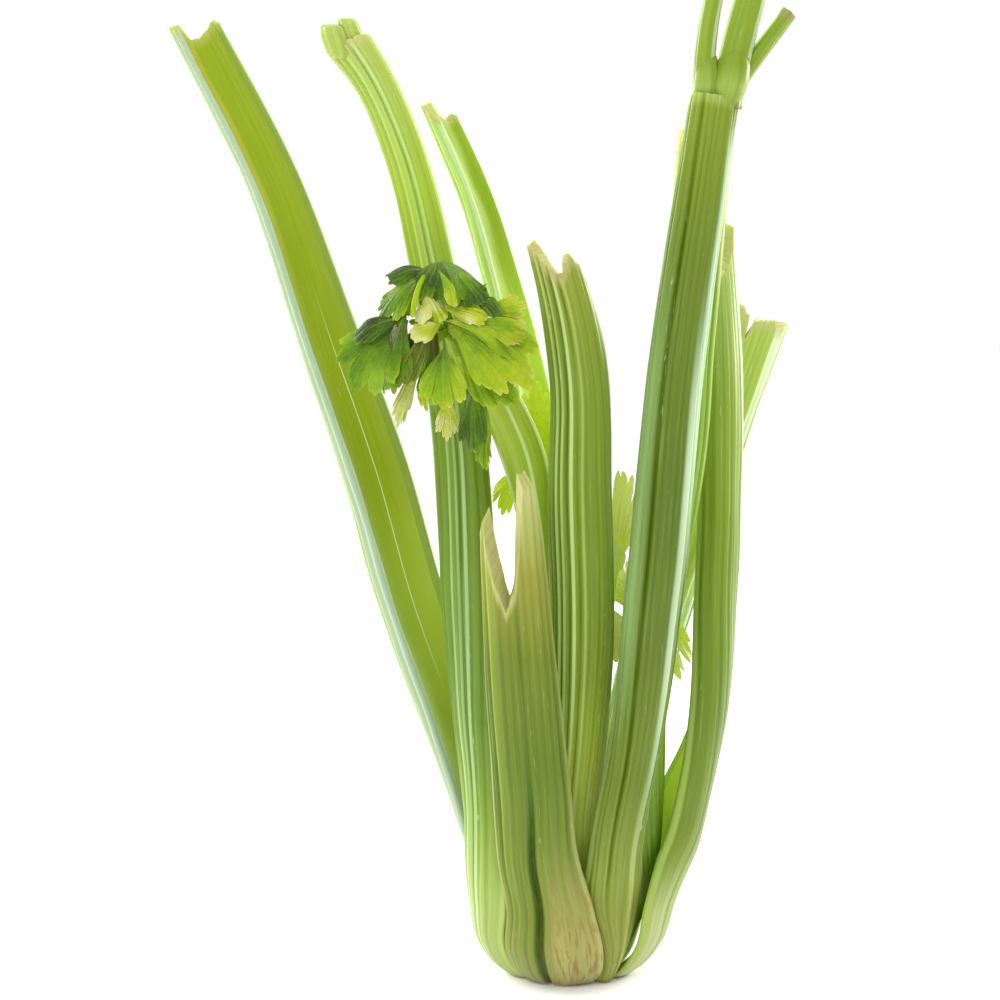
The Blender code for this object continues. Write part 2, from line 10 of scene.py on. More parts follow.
import bmesh
import bpy
import numpy as np
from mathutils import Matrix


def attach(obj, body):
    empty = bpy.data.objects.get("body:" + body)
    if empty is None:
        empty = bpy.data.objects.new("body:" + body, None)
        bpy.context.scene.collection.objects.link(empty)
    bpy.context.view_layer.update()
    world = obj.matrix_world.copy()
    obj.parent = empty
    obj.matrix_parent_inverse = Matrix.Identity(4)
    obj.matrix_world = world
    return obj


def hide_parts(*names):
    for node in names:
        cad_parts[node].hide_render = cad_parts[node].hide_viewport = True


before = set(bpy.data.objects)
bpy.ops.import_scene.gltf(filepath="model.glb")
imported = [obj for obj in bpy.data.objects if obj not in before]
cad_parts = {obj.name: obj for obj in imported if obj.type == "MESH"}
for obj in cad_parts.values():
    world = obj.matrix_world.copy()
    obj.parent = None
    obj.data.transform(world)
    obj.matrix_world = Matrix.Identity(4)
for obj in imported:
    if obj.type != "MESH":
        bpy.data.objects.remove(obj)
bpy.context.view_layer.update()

MM = 0.001


# ---------------------------------------------------------------- crown
# The crown is the short, solid stem of the plant, which every stalk and heart stem grows from.
# It was cut straight through at the foot; the cut has dried to a tan skin with pale strands in it.

seam_distance = 0.000002
sharp_angle = math.radians(58)
crown_sides = 96
crown_profile = [
    (0, 25), (2.2, 24.6), (4.2, 23.5), (6.8, 21), (9.2, 18), (11.6, 14), (13.4, 10), (14.5, 6),
    (15.0, 2.5), (15.0, 0.3), (14.6, 0), (11, 0), (6, 0), (0, 0),
]


class Field:
    """A shader socket that arithmetic works on: each operation adds a Math node to its tree."""

    def __init__(self, tree, socket):
        self.tree, self.socket = tree, socket

    def calculate(self, operation, *values):
        inputs = dict(enumerate((self, *values)))
        return add_node(self.tree, "ShaderNodeMath", {"operation": operation}, inputs)

    def __add__(self, other):
        return self.calculate("ADD", other)

    def __mul__(self, other):
        return self.calculate("MULTIPLY", other)

    def __sub__(self, other):
        return self.calculate("SUBTRACT", other)

    def __rsub__(self, other):
        return (self * -1) + other

    __radd__ = __add__
    __rmul__ = __mul__

    def between(self, low, high):
        """Rises smoothly from 0 at low to 1 at high, or falls if low is the greater."""
        if low > high:
            return 1 - self.between(high, low)
        settings = {"interpolation_type": "SMOOTHSTEP"}
        return add_node(self.tree, "ShaderNodeMapRange", settings, {0: self, 1: low, 2: high})


def add_node(tree, kind, settings=None, inputs=None, output=0):
    """A new node with its settings made first, then its sockets; gives one output as a Field.

    A ramp's setting is "stops", its (place, colour) rows in order.
    """
    node = tree.nodes.new(kind)
    for setting, value in (settings or {}).items():
        if setting == "stops":
            ramp = node.color_ramp
            ramp.elements.remove(ramp.elements[1])
            ramp.elements[0].position = value[0][0]
            ramp.elements[0].color = (*value[0][1], 1)
            for place, colour in value[1:]:
                ramp.elements.new(place).color = (*colour, 1)
        else:
            setattr(node, setting, value)
    for socket, value in (inputs or {}).items():
        if isinstance(value, Field):
            tree.links.new(value.socket, node.inputs[socket])
        elif isinstance(value, tuple) and len(value) == 3 and node.inputs[socket].type == "RGBA":
            node.inputs[socket].default_value = (*value, 1)
        else:
            node.inputs[socket].default_value = value
    return Field(tree, node.outputs[output])


def mixed(tree, share, first, second, blend="MIX"):
    """One colour laid over another by the given share of it."""
    settings = {"data_type": "RGBA", "blend_type": blend}
    return add_node(tree, "ShaderNodeMix", settings, {0: share, 6: first, 7: second}, output=2)


def new_material(name):
    """A material with its Principled shader, its tree and its Object coordinates."""
    material = bpy.data.materials.new(name)
    material.use_nodes = True
    tree = material.node_tree
    place = add_node(tree, "ShaderNodeTexCoord", output=3)
    return material, tree, tree.nodes["Principled BSDF"], place


def stretched(tree, vector, scale):
    """Coordinates multiplied axis by axis."""
    return add_node(tree, "ShaderNodeVectorMath", {"operation": "MULTIPLY"}, {0: vector, 1: scale})


def noise(tree, vector, scale, detail):
    """A smooth random share that changes about scale times along each unit of the vector."""
    return add_node(tree, "ShaderNodeTexNoise", None, {"Vector": vector, "Scale": scale, "Detail": detail})


def dress(tree, shader, colour, rough, relief, strength, depth):
    """Colour, roughness and a relief up to the given depth in metres, put onto the shader."""
    settings = {"Strength": strength, "Distance": depth, "Height": relief}
    bump = add_node(tree, "ShaderNodeBump", None, settings)
    for socket, value in (("Base Color", colour), ("Roughness", rough), ("Normal", bump)):
        tree.links.new(value.socket, shader.inputs[socket])


def piece_of(name, points, faces, node, material, values=None, grain=None):
    """A closed, smooth-shaded piece from points in millimetres, which rides on the head.

    values holds one number for each point under each name; grain holds a UV pair for each corner.
    Points that lie on one another, as at seams and poles, are merged.
    """
    mesh = bpy.data.meshes.new(name)
    mesh.from_pydata((points * MM).tolist(), [], faces.tolist())
    for key, value in (values or {}).items():
        mesh.attributes.new(key, "FLOAT", "POINT").data.foreach_set("value", value.ravel().astype(np.float32))
    if grain is not None:
        mesh.uv_layers.new(name="grain").data.foreach_set("uv", grain.ravel().astype(np.float32))
    shape = bmesh.new()
    shape.from_mesh(mesh)
    bmesh.ops.remove_doubles(shape, verts=shape.verts, dist=seam_distance)
    bmesh.ops.recalc_face_normals(shape, faces=shape.faces)
    shape.to_mesh(mesh)
    shape.free()
    mesh.shade_smooth()
    mesh.set_sharp_from_angle(angle=sharp_angle)
    mesh.materials.append(material)
    piece = bpy.data.objects.new(name, mesh)
    bpy.context.scene.collection.objects.link(piece)
    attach(piece, "root")
    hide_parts(node)


def cells(grid):
    """The values at the four corners of each cell of a grid, in order round the cell."""
    return np.stack([grid[:-1, :-1], grid[:-1, 1:], grid[1:, 1:], grid[1:, :-1]], axis=2)


def grid_faces(rows, columns, closed=False):
    """Quads of a grid of points numbered row by row; closed joins the last column to the first."""
    index = np.arange(rows * columns).reshape(rows, columns)
    if closed:
        index = np.concatenate([index, index[:, :1]], axis=1)
    return cells(index).reshape(-1, 4)


def turned(profile, sides):
    """A profile of (radius, height) rows turned round the axis: x = r w cos t, y = r w sin t, z = h, with
    the rim slightly waved by w = 1 + 0.012 sin 7t + 0.008 sin(17t + 1)."""
    radius, height = np.array(profile, float).T
    turn = np.linspace(0, math.tau, sides, endpoint=False)
    wave = 1 + 0.012 * np.sin(7 * turn) + 0.008 * np.sin(17 * turn + 1)
    x = radius[:, None] * (np.cos(turn) * wave)
    y = radius[:, None] * (np.sin(turn) * wave)
    z = np.broadcast_to(height[:, None], x.shape)
    return np.stack([x, y, z], axis=-1).reshape(-1, 3)


def cut_flesh(name):
    """Dried tan skin over cut, pale flesh, with the ends of strands standing in it as dots."""
    material, tree, shader, place = new_material(name)
    mottle = noise(tree, place, 140, 4)
    strands = add_node(tree, "ShaderNodeTexVoronoi", None, {"Vector": place, "Scale": 420.0})
    dots = strands.between(0.32, 0.12)
    colour = mixed(tree, mottle.between(0.35, 0.7), (0.50, 0.42, 0.20), (0.30, 0.20, 0.08))
    colour = mixed(tree, dots * 0.6, colour, (0.66, 0.60, 0.36))
    dress(tree, shader, colour, 0.55 + 0.3 * mottle, mottle + dots, 0.6, 0.0006)
    return material


piece_of(
    "crown_stem", turned(crown_profile, crown_sides), grid_faces(len(crown_profile), crown_sides, True),
    "crown", cut_flesh("crown_cut_flesh"),
)


# ---------------------------------------------------------------- low broken stalk in front
# An outer stalk, snapped off below half height, so that its torn top stands up in two horns. It is
# watery green flesh under a thin ribbed skin with strings in it, and grows out of the crown's side.

# Each whorl's bulb, as (height, radius), and the thickness of its walls in the butt.
whorls = {
    "outer": [(0, 19.6), (5, 26.0), (14, 32.0), (30, 35.2)],
    "middle": [(0, 19.6), (5, 23.4), (14, 27.0), (30, 29.4)],
    "inner": [(7, 18.3), (14, 19.4), (30, 20.6)],
}
butt_wall = {"outer": 7.8, "middle": 7.6, "inner": 5.2}
# Above the butt a wall is this much, plus a share of the half width; a lip has a share of the wall.
wall_base = 2.2
wall_share = 0.40
lip_share = 0.30
# Half the turn of the section's arc where it leaves the butt, before it curls up.
low_wrap = 34.0
square_power = 3.2
# A stalk narrower than this to each side has lower ribs.
full_rib_width = 9
lip_steps = 5
back_steps = 84
cap_points = 3
# The height in metres at which the skins' ramps of colour end.
ramp_height = 0.4


def smoothstep(value, low, high):
    """3t^2 - 2t^3, with t rising from 0 at low to 1 at high."""
    share = np.clip((np.asarray(value, float) - low) / (high - low), 0, 1)
    return share * share * (3 - 2 * share)


def unit(vectors):
    """The vectors at length 1."""
    return vectors / np.linalg.norm(vectors, axis=-1, keepdims=True)


def smooth_rows(rows, count):
    """Rows on a cubic Hermite curve through the given rows, evenly spaced along their x, y and z."""
    rows = np.asarray(rows, float)
    steps = np.linalg.norm(np.diff(rows[:, :3], axis=0), axis=1)
    knots = np.concatenate([[0], np.cumsum(steps)])
    slopes = np.gradient(rows, knots, axis=0)
    places = np.linspace(0, knots[-1], count)
    span = np.clip(np.searchsorted(knots, places, side="right") - 1, 0, len(knots) - 2)
    length = (knots[span + 1] - knots[span])[:, None]
    t = (places - knots[span])[:, None] / length
    return (
        (2 * t**3 - 3 * t**2 + 1) * rows[span]
        + (t**3 - 2 * t**2 + t) * length * slopes[span]
        + (3 * t**2 - 2 * t**3) * rows[span + 1]
        + (t**3 - t**2) * length * slopes[span + 1]
    )


def ripple(x, y, seed, waves=6):
    """A smooth random surface from -1 to 1: the mean of sines whose directions are drawn from the seed."""
    draw = np.random.default_rng(seed)
    total = 0
    for turn, pace, shift in draw.uniform((0, 0.6, 0), (math.tau, 1.6, math.tau), (waves, 3)):
        total = total + np.sin(pace * (math.cos(turn) * x + math.sin(turn) * y) * math.tau + shift)
    return total / waves * 1.4


def stalk_rows(whorl, angle, spread, curl, route, bulge=0.0):
    """A stalk's (x, y, z, half width, facing, wrap, wall) from the crown, by its whorl's bulb, to its end.

    angle and spread are its place round the crown and its half width there, in degrees, at the cut and
    at the bulb's top, which bulge moves outwards. curl is the heights between which the wrap grows from
    the low one, and the full wrap.
    """
    heights = np.array(whorls[whorl], float)
    widening = smoothstep(heights[:, 0], 5, heights[-1, 0])
    angle = angle[0] + (angle[1] - angle[0]) * widening
    turn = np.radians(angle)
    wrap = spread[0] + (spread[1] - spread[0]) * widening
    radius = heights[:, 1] + bulge * widening
    middle = radius * (1 + np.cos(np.radians(wrap))) / 2
    foot = np.stack([
        middle * np.cos(turn), middle * np.sin(turn), heights[:, 0], radius * np.sin(np.radians(wrap)),
        angle % 360, wrap, np.full_like(radius, butt_wall[whorl]),
    ], axis=1)
    route = np.array(route, float)
    low, high, full_wrap = curl
    wrap = low_wrap + (full_wrap - low_wrap) * smoothstep(route[:, 2], low, high)
    route[:, 4] %= 360
    above = np.column_stack([route, wrap, wall_base + wall_share * route[:, 3]])
    rows = np.concatenate([foot, above])
    rows[:, 4] = np.degrees(np.unwrap(np.radians(rows[:, 4])))
    return rows


def loop_around(steps):
    """Round a section from the left lip's middle over the back to the right lip's and home by the channel.

    Gives for each point its place across (-1 to 1), its side (1 back, -1 channel, between them on a
    lip) and its sweep round a lip (-1 to 1). Point k of the back has its match at point -k.
    """
    quarter = np.linspace(0, math.pi / 2, lip_steps, endpoint=False)
    ones = np.ones(lip_steps)
    place = np.concatenate([-ones, np.linspace(-1, 1, steps + 1), ones])
    side = np.concatenate([np.sin(quarter), np.ones(steps + 1), np.sin(quarter)[::-1]])
    sweep = np.concatenate([-np.cos(quarter), np.zeros(steps + 1), np.cos(quarter)[::-1]])
    return (
        np.concatenate([place, place[-2:0:-1]]),
        np.concatenate([side, -side[-2:0:-1]]),
        np.concatenate([sweep, sweep[-2:0:-1]]),
    )


def rib_relief(place, distance, grooves, seed):
    """Height of the ribbed back over its mean: broad crests, less a narrow dip exp(-((a - p) / w)^2) d at
    each (place p, width w, depth d), and fine threads that come and go along the stalk."""
    relief = np.full(np.broadcast(place, distance).shape, 0.42)
    for number, (middle, width, depth) in enumerate(grooves):
        drift = 0.012 * ripple(distance / 90, number * 3.1, seed + number)
        strength = 1 + 0.25 * ripple(distance / 70, number * 5.3, seed + 40 + number)
        relief = relief - depth * strength * np.exp(-(((place + drift - middle) / width) ** 2))
    threads = np.sin(place * 58 + 1.4 * ripple(distance / 60, place, seed + 80))
    return relief + 0.09 * threads * (0.6 + 0.4 * ripple(distance / 40, place * 3, seed + 90))


def even_grooves(count, seed, depth=0.85, width=0.055):
    """Grooves between ribs of unlike breadth, drawn from the seed."""
    draw = np.random.default_rng(seed)
    places = np.linspace(-0.94, 0.94, count) + draw.uniform(-0.25, 0.25, count) * 1.6 / count
    return [(p, width * draw.uniform(0.7, 1.5), depth * draw.uniform(0.5, 1.2)) for p in places]


def stalk_frame(rows, level):
    """At each row: the ways along the stalk, out of its back and across it, and the distance from the
    foot. Below the first height of level the sections lie flat, and above the second they stand square."""
    along = unit(np.gradient(rows[:, :3], axis=0))
    upright = smoothstep(rows[:, 2:3], *level)
    along = unit(upright * along + (1 - upright) * np.array([0, 0, 1.0]))
    facing = np.radians(rows[:, 4])
    back = np.stack([np.cos(facing), np.sin(facing), np.zeros_like(facing)], axis=1)
    back = unit(back - along * (back * along).sum(1, keepdims=True))
    steps = np.linalg.norm(np.diff(rows[:, :3], axis=0), axis=1)
    return along, back, np.cross(along, back), np.append(0, np.cumsum(steps))[:, None]


def stalk_caps(points, place, ahead, ragged, seed):
    """Points that close the cut foot and the end: between each point of the back and its match on the
    channel's side lie cap_points more. The end's are roughened along the stalk."""
    upper = np.arange(points.shape[1] // 2 + 1)
    lower = -upper % points.shape[1]
    share = np.linspace(0, 1, cap_points + 2)[1:-1]
    foot, top = (
        points[row, upper][:, None] * (1 - share[:, None]) + points[row, lower][:, None] * share[:, None]
        for row in (0, -1)
    )
    rough = ripple(place[0, upper, None] * 6, share[None, :] * 2, seed + 13, 9)
    top = top + (0.5 * ragged * rough * (1 - place[0, upper, None] ** 8))[..., None] * ahead
    return foot, top


def stalk_net(place, girth, distance):
    """Quads over the wall and both caps, with a UV pair for each of their corners: on the wall, metres
    round the section and along the stalk; on each cap, a small patch of its own."""
    rings, columns = len(distance), place.shape[1]
    upper = np.arange(columns // 2 + 1)
    lower = -upper % columns
    numbers = np.arange(rings * columns).reshape(rings, columns)
    around = np.arange(columns + 1) * (girth / columns) * MM
    sheet = np.stack(np.broadcast_arrays(around[None, :], distance * MM), axis=-1)
    faces, grain = [grid_faces(rings, columns, True)], [cells(sheet).reshape(-1, 2)]
    for row, patch in ((0, 0.3), (-1, 0)):
        start = rings * columns + (row != 0) * len(upper) * cap_points
        inner = start + np.arange(len(upper) * cap_points).reshape(-1, cap_points)
        net = np.concatenate([numbers[row, upper][:, None], inner, numbers[row, lower][:, None]], axis=1)
        faces.append(cells(net).reshape(-1, 4))
        x = place[0, upper, None] * 0.02 + patch
        y = np.linspace(0, 0.006, cap_points + 2)[None, :]
        grain.append(cells(np.stack(np.broadcast_arrays(x, y), axis=-1)).reshape(-1, 2))
    return np.concatenate(faces), np.concatenate(grain)


def stalk_piece(name, node, material, rows, grooves, end, seed, rings=150, fold=None, square=0.0,
                ragged=0.5, slant=0.0, reach=55.0, level=(16.0, 70.0), steps=back_steps, drift=0.0):
    """A stalk: a crescent section carried along its rows, closed by its cut foot and its end.

    Section: p = m + r cos(aw) B + r sin(aw) S, with a the place across, w the wrap, B the way out of the
    back and S the way across; r is the arc's radius, plus half the wall on the back and less half on
    the channel, plus the ribs; m holds the arc's middle on the route. square > 0 pushes the shoulders
    out towards (|cos|^n + |sin|^n)^(-1/n). Within reach of the end each point moves along the stalk by
    the end's rise at its place, plus a ragged edge; slant lifts the channel's side over the back's. In
    the butt, fold is a (place, depth) crease, and drift leads ribs and crease sideways.
    """
    rows = smooth_rows(rows, rings)
    along, back, over, distance = stalk_frame(rows, level)
    place, side, sweep = (part[None, :] for part in loop_around(steps))
    height, half_width, wrap, wall = rows[:, 2:3], rows[:, 3:4], np.radians(rows[:, 5:6]), rows[:, 6:7]
    radius = half_width / np.sin(wrap)
    lip = wall * lip_share / 2
    turn = place * (wrap - 0.9 * lip / radius)
    taper = np.cos(place * math.pi / 2).clip(0) ** 0.7
    half_wall = wall * (lip_share + (1 - lip_share) * taper) / 2

    line = place + drift * (1 - place**2) * smoothstep(-height, -75, -12)
    relief = rib_relief(line, distance, grooves, seed) * np.minimum(1, half_width / full_rib_width)
    relief = relief * (0.45 + 0.55 * smoothstep(height, 10, 60))
    if fold:
        relief = relief - fold[1] * np.exp(-(((line - fold[0]) / 0.10) ** 2)) * smoothstep(-height, -95, -20)
    ribbed = side.clip(0) ** 0.7
    swell = 0.22 * ripple(distance / 45, place * 0.9, seed + 7) * smoothstep(height, 5, 40)
    reach_out = radius + side * half_wall + relief * ribbed + swell * side
    if square:
        rounded = np.abs(np.cos(turn)) ** square_power + np.abs(np.sin(turn)) ** square_power
        corner = rounded ** (-1 / square_power)
        reach_out = reach_out * (1 + square * (corner - 1) * smoothstep(height, 60, 130))

    middle = rows[:, :3] - back * (radius * (1 + np.cos(wrap)) / 2)
    sideways = reach_out * np.sin(turn) + sweep * 0.9 * lip * np.cos(turn)
    outward = reach_out * np.cos(turn) - sweep * 0.9 * lip * np.sin(turn)
    points = middle[:, None] + outward[..., None] * back[:, None] + sideways[..., None] * over[:, None]
    from_end = distance[-1] - distance
    pull = np.clip(1 - from_end / reach, 0, 1) ** 1.3
    rise = np.interp(place, *zip(*end)) - slant * side / 2
    jagged = ragged * (ripple(place * 4, side * 0.3, seed + 11) + 0.6 * ripple(place * 13, side, seed + 12))
    tip_pull = np.clip(1 - from_end / 12, 0, 1) ** 1.5
    points = points + (pull * rise + tip_pull * jagged)[..., None] * along[-1]

    caps = stalk_caps(points, place, along[-1], ragged, seed)
    faces, grain = stalk_net(place, 2 * radius.mean() * wrap.mean() * 2, distance)
    # Each mark's values over the wall, on the cut foot and on the end.
    marks = {
        "crest": (relief * ribbed, 0, 0),
        "inner": ((1 - side) / 2, 0.5, 0.5),
        "lip": (np.exp(-(((1 - np.abs(place)) / 0.07) ** 2)), 0, 0),
        "from_end": (from_end, 400, 0),
        "cut": (np.exp(-distance / 1.2), 1, 0),
        "across": (line, 0, 0),
    }
    cap_size = caps[0][..., 0].size
    values = {}
    for key, (wall_value, foot_value, end_value) in marks.items():
        whole = np.broadcast_to(wall_value, points.shape[:2]).ravel()
        values[key] = np.concatenate([whole, np.full(cap_size, foot_value), np.full(cap_size, end_value)])
    grown = np.concatenate([part.reshape(-1, 3) for part in (points, *caps)])
    piece_of(name, grown, faces, node, material, values, grain)


def attribute(tree, name):
    """A number stored at each point of the piece."""
    return add_node(tree, "ShaderNodeAttribute", {"attribute_name": name}, output=2)


def stripe_at(across, height, mask, stripe_place, width, core, fades):
    """A stripe up the stalk: full to a core's share of its width, gone at its width, and faded by each
    pair of heights from the first to the second."""
    stripe = (across - stripe_place).calculate("ABSOLUTE").between(width, width * core) * mask
    for low, high in zip(fades[::2], fades[1::2]):
        stripe = stripe * height.between(low, high)
    return stripe


def stalk_skin(name, heights, channel, lip, torn=(0.42, 0.40, 0.12), contrast=1.0, lip_tint=0.8,
               stain=0.0, painted_gloss_lines=0.2, stripes=(), inside=(), lips=(1.0, 1.0), deep=None):
    """Green ribbed skin: a ramp of colour up the stalk, paler crests and grooves darkened partly by their own
    deeper green and partly by painted shade, threads along the grain, its smooth channel, pale lips, painted
    glossy dashes, tan at the cut foot and at the torn end, and small flecks.

    heights holds (height in metres, colour). channel is two colours that mottle the inside, and deep its
    colour lower down, with the two heights between which it comes in. lip is laid over the edges by the
    share lip_tint, and lips tells how much of that each side has. torn colours the end. contrast scales
    the marks along the grain, stain the rust low on the right, and painted_gloss_lines the pale dashes,
    which are painted glossy highlights. Each stripe up the back, or up the inside, is (place, width,
    colour, share) and its fades.
    """
    material, tree, shader, place = new_material(name)
    height = add_node(tree, "ShaderNodeSeparateXYZ", None, {0: place}, output=2)
    stops = [(level / ramp_height, colour) for level, colour in heights]
    colour = add_node(tree, "ShaderNodeValToRGB", {"stops": stops}, {0: height * (1 / ramp_height)})
    grain = add_node(tree, "ShaderNodeUVMap", {"uv_map": "grain"})
    broad = noise(tree, stretched(tree, grain, (420, 9, 0)), 1, 2)
    fine = noise(tree, stretched(tree, grain, (1700, 30, 0)), 1, 2)
    blotch = noise(tree, place, 38, 3)
    crest, inner = attribute(tree, "crest"), attribute(tree, "inner")
    back = inner.between(0.6, 0.3)
    groove = (crest * -1).between(-0.25, 0.75) * back
    ridge = crest.between(0.25, 0.62) * back
    colour = mixed(tree, broad.between(0.62, 0.35) * 0.45 * contrast, colour, (0.66, 0.80, 0.40), "MULTIPLY")
    colour = mixed(tree, blotch.between(0.45, 0.75) * 0.45, colour, (1.0, 0.90, 0.72), "MULTIPLY")
    # Darker grooves between the ribs: partly the skin's deeper green, partly painted shade in the grooves.
    colour = mixed(tree, groove * (0.55 * contrast), colour, (0.52, 0.68, 0.36), "MULTIPLY")
    colour = mixed(tree, ridge * fine.between(0.35, 0.65) * (0.14 * contrast), colour, (0.42, 0.54, 0.12))
    across = attribute(tree, "across")
    for middle, width, tone, share, *fades in stripes:
        stripe = stripe_at(across, height, back, middle, width, 0.4, fades)
        colour = mixed(tree, stripe * (share * (0.55 + 0.45 * broad)), colour, tone)
    bright = mixed(tree, broad.between(0.35, 0.7) * 0.5, channel[0], channel[1])
    if deep:
        bright = mixed(tree, height.between(deep[1], deep[2]), bright, deep[0])
    for middle, width, tone, share, *fades in inside:
        stripe = stripe_at(across, height, share * (0.5 + broad), middle, width, 0.5, fades)
        bright = mixed(tree, stripe, bright, tone)
    colour = mixed(tree, inner.between(0.55, 0.85), colour, bright)
    edge = attribute(tree, "lip").between(0.15, 0.8) * lip_tint
    edge = edge * (lips[0] + (lips[1] - lips[0]) * across.between(-0.5, 0.5))
    colour = mixed(tree, edge, colour, lip)
    colour = mixed(tree, fine.between(0.56, 0.78) * (0.14 * contrast), colour, (0.52, 0.64, 0.20))
    if stain:
        rust = noise(tree, stretched(tree, grain, (1000, 110, 0)), 1, 3)
        low = height.between(0.07, 0.0) * rust.between(0.48, 0.62) * (0.2 + 0.8 * across.between(0.0, 0.5))
        colour = mixed(tree, low * stain, colour, (0.25, 0.14, 0.035))
    # Pale dashes along the grain: painted glossy highlights.
    dashes = noise(tree, stretched(tree, grain, (2200, 170, 0)), 1, 2).between(0.60, 0.74)
    where = noise(tree, stretched(tree, grain, (260, 6, 0)), 1, 1).between(0.56, 0.68)
    colour = mixed(tree, dashes * where * (1.6 * painted_gloss_lines), colour, (0.82, 0.90, 0.72))
    spots = {"Vector": place, "Scale": 75.0}
    flecks = add_node(tree, "ShaderNodeTexVoronoi", None, spots)
    spot_middle = add_node(tree, "ShaderNodeTexVoronoi", None, spots, output=2)
    chosen = add_node(tree, "ShaderNodeTexWhiteNoise", None, {"Vector": spot_middle})
    dark_spots = flecks.between(0.085, 0.05) * chosen.between(0.955, 0.965) * 0.85
    colour = mixed(tree, dark_spots, colour, (0.05, 0.05, 0.02))
    from_end = attribute(tree, "from_end")
    frayed = (from_end + 5.0 * (broad - 0.5)).between(5.5, 0.6)
    fibres = mixed(tree, fine.between(0.3, 0.7) * 0.3, torn, (0.62, 0.66, 0.34))
    colour = mixed(tree, frayed * 0.85, colour, fibres)
    cut = (attribute(tree, "cut") + 0.5 * (blotch - 0.5)).between(0.15, 0.8)
    dried = mixed(tree, blotch.between(0.4, 0.6), (0.42, 0.34, 0.16), (0.16, 0.11, 0.05))
    colour = mixed(tree, cut * 0.85, colour, dried)
    rough = 0.30 + 0.22 * fine + 0.10 * inner + 0.3 * frayed
    pores = noise(tree, place, 1900, 2)
    relief = (fine * 0.8 + broad * 0.6) * (1 - 0.75 * inner) + pores * 0.25
    dress(tree, shader, colour, rough, relief, 0.32, 0.00035)
    shader.inputs["Subsurface Weight"].default_value = 0.22
    shader.inputs["Subsurface Radius"].default_value = (0.6, 1.0, 0.2)
    shader.inputs["Subsurface Scale"].default_value = 0.004
    shader.inputs["Specular IOR Level"].default_value = 0.26
    return material


front_grooves = [
    (-0.90, 0.045, 0.9), (-0.74, 0.05, 1.0), (-0.52, 0.05, 0.5), (-0.34, 0.035, 0.45), (-0.12, 0.04, 0.5),
    (0.06, 0.05, 0.8), (0.27, 0.04, 0.5), (0.46, 0.035, 0.45), (0.66, 0.04, 0.5), (0.86, 0.05, 0.8),
]
front_route = [
    (-12.8, -38.2, 53, 15.2, -104), (-15.2, -40.8, 80, 14.2, -101), (-18, -42, 111, 12.6, -98.5),
    (-20.9, -43, 150, 10.6, -96),
]
front_end = [(-1, 22), (-0.75, 34), (-0.5, 14), (-0.2, 0), (0.05, 8), (0.42, 45), (0.72, 46), (1, 26)]
front_skin = stalk_skin(
    "skin_front",
    [(0, (0.24, 0.27, 0.06)), (0.03, (0.16, 0.21, 0.015)), (0.09, (0.100, 0.160, 0.006)),
     (0.13, (0.13, 0.175, 0.007)), (0.16, (0.24, 0.25, 0.03)), (0.19, (0.38, 0.40, 0.12))],
    ((0.30, 0.37, 0.05), (0.40, 0.46, 0.11)), (0.44, 0.46, 0.14), torn=(0.36, 0.34, 0.11), contrast=0.8,
    stain=0.9, painted_gloss_lines=0.12, lip_tint=0.35, stripes=[
        # The first stripe darkens the crease at the foot: painted shade in the crease.
        (0.04, 0.14, (0.025, 0.065, 0.003), 0.9, 0.10, 0.05),
        (-0.26, 0.07, (0.06, 0.12, 0.008), 0.7, 0.08, 0.03),
        (-0.62, 0.16, (0.30, 0.40, 0.03), 0.4, 0.02, 0.10),
        (0.72, 0.60, (0.40, 0.35, 0.13), 0.75, 0.07, 0.005),
    ],
)
stalk_piece(
    "low_broken_stalk", "stalk_front", front_skin,
    stalk_rows("outer", (-102.3, -103.8), (38.2, 28.7), (40, 150, 62), front_route),
    front_grooves, front_end, 3,
    rings=120, fold=(0.05, 3.2), square=0.35, ragged=1.0, slant=5.0, drift=0.26,
)


# ---------------------------------------------------------------- tallest stalk and its joint
# The tallest stalk stands in front on the right. At its first joint it swells and parts into three
# leaf branches, which were cut off above; all of it is one growth of ribbed green flesh.

tall_skin = stalk_skin(
    "skin_tall",
    [(0, (0.30, 0.32, 0.07)), (0.04, (0.20, 0.25, 0.03)), (0.08, (0.117, 0.173, 0.009)),
     (0.19, (0.083, 0.14, 0.006)), (0.28, (0.114, 0.177, 0.007)), (0.33, (0.18, 0.25, 0.012)),
     (0.39, (0.24, 0.33, 0.02))],
    ((0.30, 0.45, 0.05), (0.40, 0.55, 0.10)), (0.66, 0.80, 0.55), torn=(0.26, 0.34, 0.04), stain=0.5,
    painted_gloss_lines=0.25, lip_tint=0.3, contrast=0.75,
    lips=(0.2, 1.0), stripes=[
        # The bluish stripe on the left is a painted cool sheen; the two near-white stripes on the right are
        # the pale side wall with painted rim light.
        (-0.74, 0.32, (0.27, 0.45, 0.16), 0.55, 0.09, 0.15, 0.30, 0.22),
        (0.40, 0.17, (0.62, 0.76, 0.50), 0.8, 0.04, 0.13, 0.28, 0.20),
        (0.72, 0.36, (0.68, 0.82, 0.64), 0.95, 0.14, 0.22, 0.335, 0.31),
        (0.30, 0.12, (0.46, 0.54, 0.18), 0.6, 0.10, 0.04),
    ],
)
tall_route = [
    (17.5, -31, 54, 11.2, -62), (24, -33.5, 92, 9.6, -65), (31, -36, 155, 9.6, -70),
    (39.0, -37, 243, 9.0, -74), (46.7, -36.5, 300, 8.3, -75), (51.8, -35, 336, 7.9, -76),
]
tall_grooves = [
    (-0.92, 0.05, 0.8), (-0.78, 0.03, 0.45), (-0.60, 0.03, 0.4), (-0.41, 0.045, 1.4), (-0.22, 0.03, 0.4),
    (-0.06, 0.03, 0.35), (0.10, 0.03, 0.3), (0.27, 0.03, 0.3), (0.50, 0.035, 0.9), (0.62, 0.035, 1.1),
    (0.74, 0.035, 1.0), (0.88, 0.05, 0.9),
]
